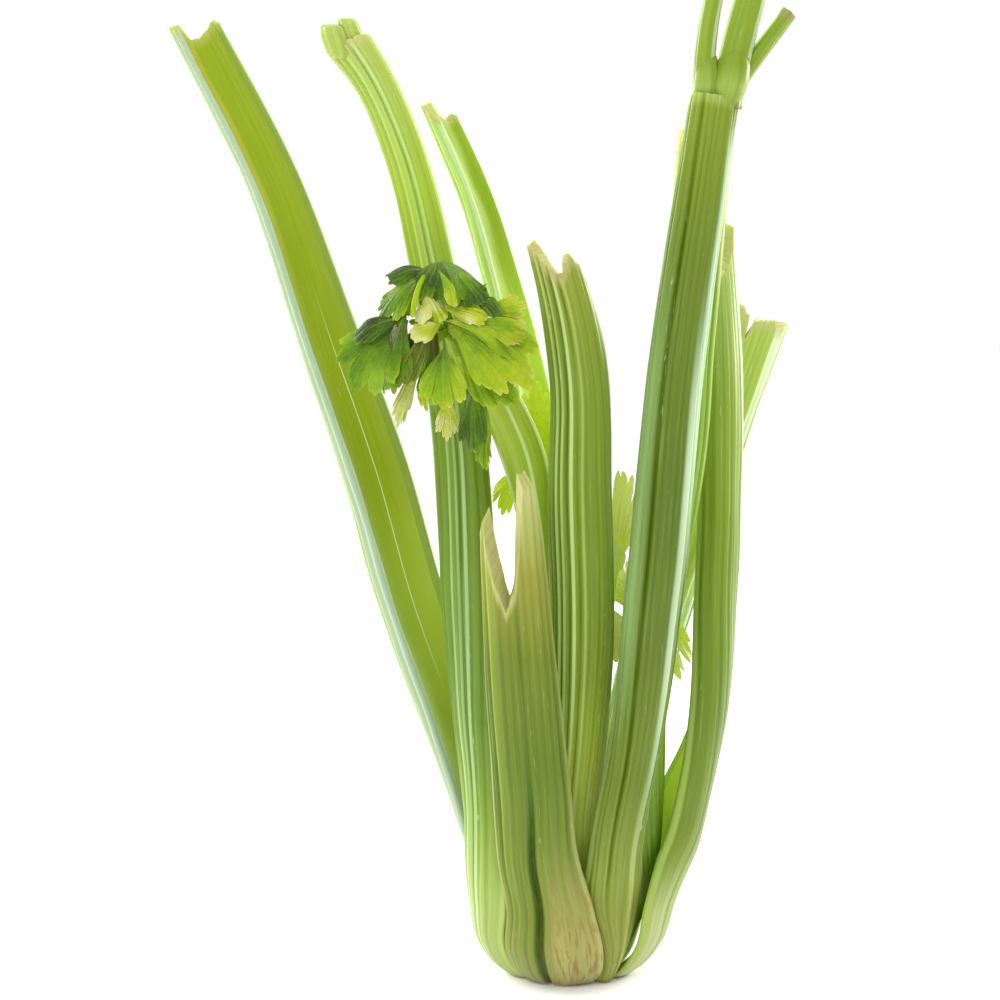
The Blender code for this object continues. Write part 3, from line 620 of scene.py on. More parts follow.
stalk_piece(
    "tallest_stalk", "stalk_front_right", tall_skin,
    stalk_rows("middle", (-51.5, -55), (10.3, 26), (30, 130, 76), tall_route), tall_grooves,
    [(-1, -5), (-0.75, 0), (0.75, 0), (1, -5)], 5, rings=170, fold=(0.05, 0.6), square=0.8, ragged=0.1,
)


knob_ribs = 9
# Metres of grain to each radian round a knob.
knob_girth = 0.006


def swelling(name, node, material, middle, half_sizes, lean, seed, depth, powers=(0.8, 1.0),
             across=72, rings=36):
    """A ribbed knob: m + w (a cos u s, b sin u s, c k), s = (sin v)^p and k = cos v |cos v|^(q - 1) for the
    two powers, sheared by lean along its height; low powers make a barrel of it. w = 1 + depth
    cos(n u) sin v for its n ribs, plus lumps of a smooth random 3 percent."""
    u = np.linspace(0, math.tau, across, endpoint=False)[None, :]
    v = np.linspace(0, math.pi, rings)[:, None]
    ribs = np.cos(knob_ribs * u) * np.sin(v)
    bulk = 1 + depth * ribs + 0.03 * ripple(u / 2 * np.sin(v), v, seed)
    girth = np.sin(v).clip(0) ** powers[0] * bulk
    height = half_sizes[2] * np.sign(np.cos(v)) * np.abs(np.cos(v)) ** powers[1] * bulk
    x = middle[0] + half_sizes[0] * np.cos(u) * girth + lean[0] * height
    y = middle[1] + half_sizes[1] * np.sin(u) * girth + lean[1] * height
    points = np.stack([x, y, middle[2] + height + 0 * u], axis=-1).reshape(-1, 3)
    grain = np.stack(np.broadcast_arrays(u * knob_girth, v * half_sizes[2] * MM), axis=-1)
    grain = np.concatenate([grain, grain[:, :1] + np.array([math.tau * knob_girth, 0])], axis=1)
    values = {key: 0 * ribs for key in ("inner", "lip", "cut", "across")}
    values |= {"crest": 0.4 * ribs, "from_end": 0 * ribs + 60}
    faces = grid_faces(rings, across, True)
    piece_of(name, points, faces, node, material, values, cells(grain).reshape(-1, 2))


branch_skin = stalk_skin(
    "skin_branches",
    [(0, (0.24, 0.32, 0.03)), (0.332, (0.18, 0.27, 0.015)), (0.339, (0.27, 0.37, 0.06)),
     (0.347, (0.19, 0.28, 0.015)), (0.39, (0.22, 0.31, 0.02))],
    ((0.30, 0.40, 0.04), (0.42, 0.50, 0.10)), (0.50, 0.60, 0.22), torn=(0.22, 0.16, 0.05), contrast=0.8,
    # The near-white stripe on the right is pale skin with painted rim light.
    stripes=[(0.60, 0.2, (0.66, 0.76, 0.56), 0.6)],
)
# Each swelling has its middle, half sizes and lean.
tall_swellings = {
    "tallest_stalk_joint": ((52.6, -33.8, 335.0), (9.0, 6.0, 4.0), (0.16, 0.02)),
    "joint_swelling_left": ((48.4, -36.0, 340.5), (4.6, 4.2, 11.5), (0.07, 0)),
    "joint_swelling_middle": ((57.2, -35.1, 341.5), (6.8, 6.4, 11.0), (0.2, 0.07)),
}
for number, (name, form) in enumerate(tall_swellings.items()):
    swelling(name, "stalk_front_right", branch_skin, *form, 21 + number, 0.01)
# Each branch's route, as (x, y, z, half width, facing).
tall_branches = {
    "branch_left": [(47, -36, 333, 3.4, -100), (48.5, -36, 356, 3.3, -100), (53.5, -34, 383, 3.0, -100)],
    "branch_middle": [(55.5, -35, 332, 6.0, -80), (59.5, -33.5, 352, 5.6, -80), (69.5, -31, 387, 5.0, -80)],
    "branch_right": [(57.5, -33, 336, 2.8, -30), (67, -30, 350, 3.2, -30), (79, -27, 366, 3.2, -30)],
}
branch_wrap = 70.0
for number, (name, route) in enumerate(tall_branches.items()):
    rows = [(*row, branch_wrap, wall_base + wall_share * row[3]) for row in route]
    stalk_piece(
        name, "stalk_front_right", branch_skin, rows, even_grooves(6, 60 + number, 0.5, 0.09),
        [(-1, 0), (1, 0)], 61 + number, rings=44, steps=44, ragged=0.25, reach=14, level=(0.0, 1.0),
    )


# ---------------------------------------------------------------- stalk on the right edge
# An outer stalk whose torn tip runs out in a point. Its channel looks inwards, and its pale right
# flank, where it catches the light, carries a painted near-white highlight.

right_skin = stalk_skin(
    "skin_right",
    [(0, (0.36, 0.37, 0.15)), (0.03, (0.23, 0.295, 0.045)), (0.06, (0.14, 0.205, 0.014)),
     (0.10, (0.125, 0.20, 0.010)), (0.16, (0.16, 0.25, 0.012)), (0.22, (0.22, 0.32, 0.025)),
     (0.28, (0.38, 0.48, 0.14))],
    ((0.56, 0.78, 0.05), (0.66, 0.84, 0.08)), (0.36, 0.50, 0.10), stain=0.25, lip_tint=0.5,
    # The near-white stripe on the right flank is painted rim light on its pale skin.
    stripes=[(0.36, 0.13, (0.76, 0.86, 0.66), 0.8, 0.02, 0.10),
             (-0.7, 0.3, (0.52, 0.58, 0.30), 0.6, 0.05, 0.02)],
)
right_route = [
    (39.0, -1.5, 49, 16.0, 3), (43.3, -0.8, 68, 14.4, 8), (48.0, -0.5, 84, 13.0, 0),
    (51.8, -0.5, 101, 12.0, -10), (55.5, 1.5, 145, 10.4, -27), (57.5, 5, 190, 9.6, -34),
    (58, 8, 230, 8.6, -38), (57, 11, 279, 5.2, -43),
]
stalk_piece(
    "right_edge_stalk", "stalk_right", right_skin,
    stalk_rows("outer", (-13.5, -13.5), (25.8, 28), (10, 66, 79), right_route, 2.4), even_grooves(9, 31, 0.4),
    [(-1, -18), (0, -6), (0.5, 8), (1, -2)], 7, rings=160, square=0.5, ragged=0.6, slant=2.0,
)


# ---------------------------------------------------------------- rear stalk leaning right
# A stalk of the second whorl that leans out behind, with its smooth bright channel to the front and
# a torn, slit top that has dried brown at one corner.

lean_skin = stalk_skin(
    "skin_rear_right",
    [(0, (0.40, 0.44, 0.14)), (0.05, (0.28, 0.36, 0.06)), (0.12, (0.20, 0.32, 0.03)),
     (0.25, (0.34, 0.46, 0.08))],
    ((0.36, 0.48, 0.08), (0.56, 0.68, 0.16)), (0.72, 0.82, 0.60), torn=(0.50, 0.46, 0.20),
)
lean_route = [
    (24, 24.5, 80, 11.2, 47), (29, 28, 106, 11.0, 53), (39, 32, 140, 10.2, 58),
    (51, 37, 176, 9.8, 61), (62, 42, 210, 9.8, 63), (74, 46, 245, 10.4, 64),
]
stalk_piece(
    "rear_right_stalk", "stalk_rear_right", lean_skin,
    stalk_rows("middle", (38, 38), (24, 24.5), (30, 140, 72), lean_route), even_grooves(8, 37),
    [(-1, 3), (-0.6, 5), (0, 4), (0.25, 3), (0.38, -5), (0.48, 4), (0.8, 7), (1, 5)], 9,
    rings=140, square=0.4, ragged=1.0, slant=-1.5,
)


# ---------------------------------------------------------------- rear stalk
# Behind the leaf stands a stalk of the second whorl, cut on a slant between two horns. Its pale left
# flank and its bright channel both show.

rear_skin = stalk_skin(
    "skin_rear",
    [(0, (0.50, 0.56, 0.24)), (0.05, (0.36, 0.48, 0.12)), (0.15, (0.36, 0.50, 0.10)),
     (0.30, (0.48, 0.62, 0.20)), (0.34, (0.40, 0.54, 0.12))],
    ((0.24, 0.36, 0.006), (0.30, 0.43, 0.01)), (0.50, 0.62, 0.34), lips=(0.1, 1.0),
    deep=((0.50, 0.66, 0.07), 0.29, 0.22),
)
rear_route = [
    (-3.5, 35.5, 104, 10.8, 102), (-7, 38, 150, 9.4, 120), (-14.5, 40, 215, 8.8, 138),
    (-26.5, 42, 266, 8.0, 148), (-36, 43, 297, 7.5, 152), (-50, 45, 329, 7.0, 154),
]
stalk_piece(
    "rear_stalk", "stalk_rear", rear_skin,
    stalk_rows("middle", (88.5, 88.5), (24, 24.5), (30, 150, 74), rear_route), even_grooves(8, 41),
    [(-1, -3), (-0.8, -2), (-0.3, -3.5), (0.1, -1), (0.45, 5), (0.7, 3), (1, -2)], 11, rings=150, square=0.5,
    ragged=0.3,
)


# ---------------------------------------------------------------- long stalk leaning left
# The longest arc of the head: an outer stalk leaning far out, cut square, with a tan bruised lip along
# its left edge and a broad smooth channel.

far_skin = stalk_skin(
    "skin_rear_left",
    [(0, (0.50, 0.58, 0.26)), (0.04, (0.38, 0.50, 0.14)), (0.15, (0.24, 0.36, 0.05)),
     (0.37, (0.28, 0.40, 0.05))],
    ((0.22, 0.305, 0.001), (0.27, 0.345, 0.002)), (0.32, 0.41, 0.28), torn=(0.30, 0.34, 0.03),
    painted_gloss_lines=0.12, lip_tint=0.95, lips=(0.1, 1.0), stripes=[(0.86, 0.2, (0.32, 0.41, 0.28), 0.95)],
    inside=[(1.0, 0.12, (0.33, 0.42, 0.29), 0.95), (0.66, 0.25, (0.37, 0.37, 0.03), 0.75, 0.24, 0.31),
            (-0.2, 0.022, (0.72, 0.82, 0.52), 0.7, 0.10, 0.14, 0.27, 0.22),
            (-0.97, 0.09, (0.15, 0.23, 0.01), 0.6)],
    deep=((0.32, 0.43, 0.035), 0.20, 0.14),
)
far_route = [
    (-36, 19, 66, 14.5, 141), (-48.5, 15.5, 104, 14.3, 142), (-61.5, 15.5, 142, 14.0, 139),
    (-75, 18, 190, 13.5, 134), (-94, 23, 245, 11.8, 129), (-114, 28.5, 302, 10.0, 127),
    (-143.8, 33.5, 361, 8.8, 125),
]
stalk_piece(
    "far_left_stalk", "stalk_rear_left", far_skin,
    stalk_rows("outer", (139.5, 139.5), (25, 26), (30, 130, 72), far_route), even_grooves(8, 43),
    [(-1, -2), (-0.85, 0), (-0.6, -2), (0, -4), (0.5, -3), (0.8, 4), (1, 3)], 13,
    rings=170, square=0.3, ragged=0.2, slant=-0.5,
)


# ---------------------------------------------------------------- ribbed stalk on the left
# An outer stalk bending to the left, cut just above its joint, so that it ends in a pale swelling and
# the stub of a branch. Its ribs are the plainest of all.

left_skin = stalk_skin(
    "skin_left",
    [(0, (0.34, 0.38, 0.12)), (0.03, (0.29, 0.38, 0.09)), (0.065, (0.20, 0.30, 0.03)),
     (0.10, (0.124, 0.225, 0.022)), (0.155, (0.135, 0.235, 0.02)), (0.19, (0.125, 0.21, 0.012)),
     (0.25, (0.21, 0.34, 0.010)), (0.30, (0.32, 0.43, 0.03)), (0.36, (0.36, 0.45, 0.10))],
    ((0.34, 0.48, 0.05), (0.46, 0.58, 0.10)), (0.42, 0.56, 0.16), contrast=0.75, lip_tint=0.5,
    # The three thin pale stripes are painted glossy highlights along the ribs; the bluish-white stripe on the
    # left is a painted cool sheen.
    stripes=[(-0.05, 0.04, (0.44, 0.62, 0.28), 0.5), (0.12, 0.04, (0.44, 0.62, 0.28), 0.5),
             (0.30, 0.05, (0.50, 0.68, 0.36), 0.6), (-0.8, 0.2, (0.56, 0.68, 0.46), 0.7)],
)
left_route = [
    (-33, -8, 66, 13.2, 208), (-36, -7, 104, 12.2, 217), (-39, -4, 150, 11.0, 230),
    (-42.5, -1, 205, 9.8, 240), (-53, 1, 275, 8.0, 243), (-63, 1, 315, 7.4, 243),
    (-76, -1, 344, 7.2, 243), (-85.5, -3, 358, 8.0, 243),
]
stalk_piece(
    "left_stalk", "stalk_left", left_skin,
    stalk_rows("outer", (191.4, 196.6), (25.8, 29.8), (40, 150, 74), left_route),
    even_grooves(8, 47, 0.95, 0.05),
    [(-1, -4), (-0.5, -4), (0, -4), (0.2, -2), (0.6, -3), (1, -6)], 15, rings=170, square=0.4, ragged=0.4,
)
left_swellings = {
    "left_stalk_knob": ((-87.4, -4, 355.6), (5.2, 5.4, 6.2), (-0.3, 0)),
    "left_stalk_stub": ((-81.4, -3, 357.6), (4.0, 4.6, 6.6), (-0.4, 0)),
}
for number, (name, form) in enumerate(left_swellings.items()):
    swelling(name, "stalk_left", left_skin, *form, 25 + number, 0.04, (0.36, 0.55))


# ---------------------------------------------------------------- ribbed inner stalk in front
# An inner stalk behind the low one, with close, even ribs. Its torn top has a spike on the left, a
# notch with a tan tear line below it, and a short horn.

inner_skin = stalk_skin(
    "skin_inner_front",
    [(0, (0.40, 0.42, 0.10)), (0.06, (0.38, 0.45, 0.07)), (0.10, (0.22, 0.30, 0.02)),
     (0.12, (0.15, 0.22, 0.010)), (0.20, (0.155, 0.235, 0.015)), (0.24, (0.18, 0.25, 0.02)),
     (0.27, (0.23, 0.27, 0.025))],
    ((0.30, 0.42, 0.04), (0.40, 0.50, 0.08)), (0.52, 0.66, 0.26), torn=(0.36, 0.32, 0.09), contrast=0.75,
    lip_tint=0.5, stripes=[
        (-0.49, 0.035, (0.44, 0.62, 0.20), 0.6), (-0.36, 0.035, (0.44, 0.62, 0.20), 0.6),
        (-0.15, 0.05, (0.52, 0.70, 0.28), 0.75), (0.09, 0.04, (0.40, 0.56, 0.16), 0.5),
    ],
)
inner_route = [
    (-0.5, -22, 62, 11.0, -91), (2, -23, 92, 10.6, -91), (4, -24, 130, 10.6, -93),
    (3, -24, 190, 10.6, -95), (2.5, -22, 232, 9.5, -97), (-2, -19, 260, 8.4, -98),
    (-5, -17, 271, 8.0, -98),
]
inner_grooves = [
    (-0.90, 0.04, 0.5), (-0.80, 0.03, 0.6), (-0.69, 0.03, 0.8), (-0.58, 0.03, 0.8), (-0.43, 0.025, 0.9),
    (-0.26, 0.04, 1.0), (-0.03, 0.035, 0.7), (0.20, 0.03, 0.3), (0.42, 0.03, 0.22), (0.62, 0.03, 0.25),
    (0.80, 0.04, 0.35), (0.93, 0.04, 0.4),
]
stalk_piece(
    "inner_front_stalk", "stalk_inner_front", inner_skin,
    stalk_rows("inner", (-92, -92), (30, 34), (30, 150, 74), inner_route), inner_grooves,
    [(-1, 4), (-0.75, 13), (-0.5, 9), (0, -3), (0.2, -2), (0.45, 5), (0.7, 0), (1, -12)], 17,
    rings=150, square=0.5, ragged=0.9, slant=1.5,
)


# ---------------------------------------------------------------- inner stalk behind the tallest
# An inner stalk that shows only as two thin torn horns beside the tallest one and as deep green
# between the butts.

hidden_skin = stalk_skin(
    "skin_inner_right",
    [(0, (0.24, 0.32, 0.05)), (0.04, (0.15, 0.25, 0.015)), (0.15, (0.20, 0.34, 0.02)),
     (0.26, (0.24, 0.37, 0.03)), (0.30, (0.40, 0.42, 0.08))],
    ((0.28, 0.42, 0.03), (0.38, 0.50, 0.08)), (0.42, 0.52, 0.14), torn=(0.58, 0.48, 0.18), lip_tint=0.5,
)
hidden_route = [
    (29.5, -8, 52, 9.6, -20), (29.5, -11, 74, 9.6, -34), (28, -13, 108, 10.0, -48), (33, -13, 150, 9.8, -58),
    (41, -12, 200, 9.6, -64), (44.5, -11, 250, 9.6, -68), (48.7, -10, 302, 9.7, -70),
]
stalk_piece(
    "hidden_inner_stalk", "stalk_inner_right", hidden_skin,
    stalk_rows("inner", (-22, -8), (28, 19), (30, 150, 74), hidden_route, 8.5), even_grooves(8, 53),
    [(-1, 20), (-0.75, 20), (-0.45, 2), (0, -4), (0.6, 10), (0.85, 27), (1, 24)], 19, rings=140, square=0.4,
    ragged=0.9, slant=1.0,
)


# ---------------------------------------------------------------- thin stalk that carries the leaf
# The youngest whole stalk: thin, smooth and bright, with few ribs, bending forward under its leaf.

young_skin = stalk_skin(
    "skin_young",
    [(0, (0.42, 0.46, 0.14)), (0.08, (0.26, 0.38, 0.04)), (0.17, (0.19, 0.30, 0.01)),
     (0.24, (0.36, 0.48, 0.03))],
    ((0.30, 0.44, 0.03), (0.40, 0.52, 0.06)), (0.58, 0.70, 0.32), contrast=0.5,
    # The thin pale stripe on the right is a painted highlight along the stalk's edge.
    stripes=[(0.5, 0.06, (0.60, 0.74, 0.36), 0.7)],
)
young_route = [
    (-11, 3, 84, 8.2, 176), (-9, 1, 140, 8.6, 200), (-14.5, -4, 185, 9.2, 222), (-20, -9.5, 205, 9.2, 230),
    (-29, -17, 226, 8.0, 230), (-35, -20.5, 238, 6.4, 230),
]
stalk_piece(
    "leafy_stalk", "stalk_leafy", young_skin,
    stalk_rows("inner", (172, 172), (26, 28), (30, 150, 70), young_route), even_grooves(5, 59, 0.5, 0.08),
    [(-1, 0), (1, 0)], 23, rings=130, ragged=0.1, steps=64,
)


# ---------------------------------------------------------------- leaf on the thin stalk
# One celery leaf, wilted and folded over its own stem: grooved stems that part again and again, and
# thin, three-lobed, toothed leaflets with sunken veins, dark above and yellow where they are young.


def tube(route, across=20, rings=28, groove=0.18):
    """A round stem with a groove along it: p = c + r (1 - g e^(-(2.2 (u - pi/2))^2)) (N cos u + B sin u),
    the radius running in to nothing at both ends as sqrt(1 - t^2) over the last two rings."""
    rows = smooth_rows(route, rings)
    along = unit(np.gradient(rows[:, :3], axis=0))
    side = unit(np.cross(along, np.array([0.3, -1.0, 0.2])))
    up = np.cross(side, along)
    u = np.linspace(0, math.tau, across, endpoint=False)[None, :]
    place = np.linspace(0, 1, rings)
    half = (rings - 1) / 2
    closing = np.sqrt(1 - np.clip(np.abs(2 * place - 1) * half - half + 2, 0, 2) ** 2 / 4)
    radius = rows[:, 3:4] * closing[:, None] * (1 - groove * np.exp(-((u - math.pi / 2) * 2.2) ** 2))
    points = rows[:, None, :3] + radius[..., None] * (
        np.cos(u)[..., None] * side[:, None, :] + np.sin(u)[..., None] * up[:, None, :])
    return points.reshape(-1, 3), grid_faces(rings, across, True)


def leaflet(base, tip, face, spread, arch=0.1, cup=0.1, fold=0.0, lobes=3, teeth=9, lobe_depth=0.24,
            tooth_depth=0.10, tone=0.4, fade=0.1, wilt=0.0, crimp=0.09, seed=1, thick=0.45, columns=72,
            rings=18):
    """A leaflet: p = base + L (x A + y S + h U), a fan x = r cos t, y = r sin t of reach
    r = s R(t), for s from 0 to 1 and t over twice the spread.

    R(t) = (1 - 0.3 q^2)(1 - d (1 - |cos(n pi q / 2)|^0.5)) for the lobes, and again, with the power
    0.6, for the teeth, with q = t / spread. h = 4 arch x (1 - x) - 2 cup y^2 - fold sqrt(y^2 + 0.0006),
    plus waves that grow towards the margin; veins run to every lobe and tooth and lie 0.2 mm deep. The
    underside lies a leaf's thickness below.
    """
    base, tip, face = (np.array(value, float) for value in (base, tip, face))
    length = np.linalg.norm(tip - base)
    along = (tip - base) / length
    up = unit(face - along * (face @ along))
    over = np.cross(up, along)
    half = math.radians(spread)
    q = np.linspace(-1, 1, columns + 1)[None, :]
    s = np.linspace(0, 1, rings + 1)[:, None] ** 0.8
    lobed = 1 - lobe_depth * (1 - np.abs(np.cos(lobes * math.pi * q / 2)) ** 0.5)
    toothed = 1 - tooth_depth * (1 - np.abs(np.cos(teeth * math.pi * q / 2)) ** 0.6)
    reach = (1 - 0.30 * q**2) * (1 + (lobed * toothed - 1) * s**0.7)
    reach = reach * (1 + 0.05 * ripple(q * 2, s * 0, seed))
    turn = q * half
    x, y = s * reach * np.cos(turn), s * reach * np.sin(turn)
    near_main = np.abs((q * lobes / 2 + 0.5) % 1 - 0.5) * 2 / lobes * half * s * reach * length
    near_side = np.abs((q * teeth / 2 + 0.5) % 1 - 0.5) * 2 / teeth * half * s * reach * length
    vein = np.maximum(np.exp(-((near_main / (0.45 * (1.25 - s))) ** 2)),
                      0.7 * np.exp(-((near_side / 0.22) ** 2)) * smoothstep(s, 0.15, 0.5))
    waves = 1.6 * s * ripple(x * 0.8, y * 0.8, seed + 3) + 0.5 * s**3 * ripple(q * 2.2, s * 0.4, seed + 9)
    pleat = -0.003 * np.cos(teeth * math.pi * q) * smoothstep(s, 0.2, 0.9) * smoothstep(-s, -1.0, -0.8)
    height = 4 * arch * x * (1 - x) - cup * y**2 * 2 - fold * np.sqrt(y**2 + 0.0006) + crimp * waves + pleat
    height = height - 0.2 * vein / length
    upper = base + length * (x[..., None] * along + y[..., None] * over + height[..., None] * up)
    slope = np.cross(np.gradient(upper, axis=0), np.gradient(upper, axis=1))
    slope[0] = slope[1]
    normal = unit(slope)
    thin = thick * (1 - 0.6 * s[..., None] ** 6)
    shift = normal * thin / 2
    points = np.concatenate([(upper + shift).reshape(-1, 3), (upper - shift).reshape(-1, 3)])
    count = upper[..., 0].size
    numbers = np.arange(count).reshape(rings + 1, columns + 1)
    rim = np.concatenate([numbers[0, :-1], numbers[:-1, -1], numbers[-1, :0:-1], numbers[:0:-1, 0]])
    after = np.roll(rim, -1)
    skirt = np.stack([rim, after, after + count, rim + count], axis=-1)
    sheet = grid_faces(rings + 1, columns + 1)
    faces = np.concatenate([sheet, sheet[:, ::-1] + count, skirt])
    shade = tone + 0.13 * ripple(x * 1.3, y * 1.3, seed + 5) + fade * (2 * s - 1)
    # On a folded leaflet one half is painted lighter and the other darker: painted light and shade. The paler
    # margin is partly the leaf's own colour and partly a painted glow of light through its thin edge.
    shade = shade + 0.05 * np.sign(y) * smoothstep(fold, 0, 0.4) + 0.16 * smoothstep(s, 0.94, 1.0)
    brown = wilt * smoothstep(ripple(x * 1.1, y * 1.1, seed + 6) + 0.5 * (wilt - 0.5), -0.2, 0.5)
    return points, faces, {
        "tone": np.concatenate([shade.ravel()] * 2), "vein": np.concatenate([vein.ravel()] * 2),
        "under": np.concatenate([np.zeros(count), np.ones(count)]),
        "wilt": np.concatenate([brown.ravel()] * 2),
    }


def leafy_piece(name, node, material, stems, blades, stem_tone):
    """All stems and leaflets of one leaf as one piece of closed shells."""
    parts = []
    for route in stems:
        points, faces = tube(route)
        plain = np.zeros(len(points))
        marks = {"tone": plain + stem_tone, "vein": plain, "under": plain, "wilt": plain}
        parts.append((points, faces, marks))
    parts += [leaflet(**blade) for blade in blades]
    points, faces, marks = zip(*parts)
    starts = np.cumsum([0] + [len(part) for part in points[:-1]])
    faces = np.concatenate([part + start for part, start in zip(faces, starts)])
    values = {key: np.concatenate([part[key] for part in marks]) for key in marks[0]}
    piece_of(name, np.concatenate(points), faces, node, material, values)


def leaf_skin(name, stops, vein_colour, glow, glow_share):
    """Leaf skin: a ramp of tones from old dark green to young yellow, paler veins and underside, a net of
    fine veins in relief, and light let through by a share of Translucent."""
    material, tree, shader, place = new_material(name)
    tone, vein, under = attribute(tree, "tone"), attribute(tree, "vein"), attribute(tree, "under")
    mottle = noise(tree, place, 260, 3)
    colour = add_node(tree, "ShaderNodeValToRGB", {"stops": stops}, {0: tone + 0.30 * (mottle - 0.5)})
    colour = mixed(tree, attribute(tree, "wilt") * (0.45 + 0.5 * mottle), colour, (0.115, 0.075, 0.012))
    colour = mixed(tree, under * 0.25, colour, (0.26, 0.38, 0.06))
    settings = {"feature": "DISTANCE_TO_EDGE"}
    net = add_node(tree, "ShaderNodeTexVoronoi", settings, {"Vector": place, "Scale": 620.0})
    lines = net.between(0.10, 0.02)
    colour = mixed(tree, lines * 0.10, colour, vein_colour)
    colour = mixed(tree, vein * 0.30, colour, vein_colour)
    rough = 0.32 + 0.22 * mottle + 0.1 * under
    dress(tree, shader, colour, rough, net.between(0, 0.25) + 0.5 * mottle, 0.5, 0.0003)
    shader.inputs["Specular IOR Level"].default_value = 0.2
    through = tree.nodes.new("ShaderNodeBsdfTranslucent")
    through.inputs["Color"].default_value = (*glow, 1)
    both = tree.nodes.new("ShaderNodeMixShader")
    both.inputs[0].default_value = glow_share
    tree.links.new(shader.outputs[0], both.inputs[1])
    tree.links.new(through.outputs[0], both.inputs[2])
    tree.links.new(both.outputs[0], tree.nodes["Material Output"].inputs["Surface"])
    return material


old_leaf = leaf_skin(
    "leaf_skin",
    [(0.0, (0.012, 0.032, 0.001)), (0.2, (0.035, 0.095, 0.001)), (0.4, (0.10, 0.22, 0.001)),
     (0.55, (0.19, 0.34, 0.002)), (0.7, (0.32, 0.46, 0.006)), (0.85, (0.50, 0.56, 0.02)),
     (1.0, (0.68, 0.68, 0.26))],
    (0.42, 0.54, 0.08), (0.30, 0.50, 0.004), 0.26,
)
# Each stem's route, as (x, y, z, radius): the leaf's own, and six that branch off it.
leaf_stems = [
    [(-36.5, -19.5, 233, 4.6), (-39, -24, 238, 4.2), (-43, -31, 246, 3.2), (-46, -38, 255, 2.4),
     (-48.5, -38, 263, 2.0), (-51, -39, 268, 1.6), (-54, -41, 269, 1.2)],
    [(-43, -31, 246, 2.0), (-47, -38, 250, 1.7), (-52, -43, 253, 1.5), (-60, -45, 254, 1.1)],
    [(-43, -31, 246, 2.2), (-42.5, -38, 249, 1.9), (-44, -45, 251, 1.5), (-42, -47, 250, 1.0)],
    [(-54, -41, 268.5, 1.5), (-57, -44, 266, 1.5), (-59, -46, 261, 1.4), (-60, -46, 256, 1.0)],
    [(-41, -30, 240, 1.8), (-38, -38, 238, 1.5), (-36, -42, 232, 1.1)],
    [(-46, -40, 250, 1.6), (-50, -46, 247, 1.4), (-52, -48, 243, 1.0)],
    [(-53.5, -46, 271.5, 0.8), (-56, -54, 267, 1.0), (-57.5, -55.5, 261.5, 1.1), (-58.3, -55, 256, 0.9)],
]
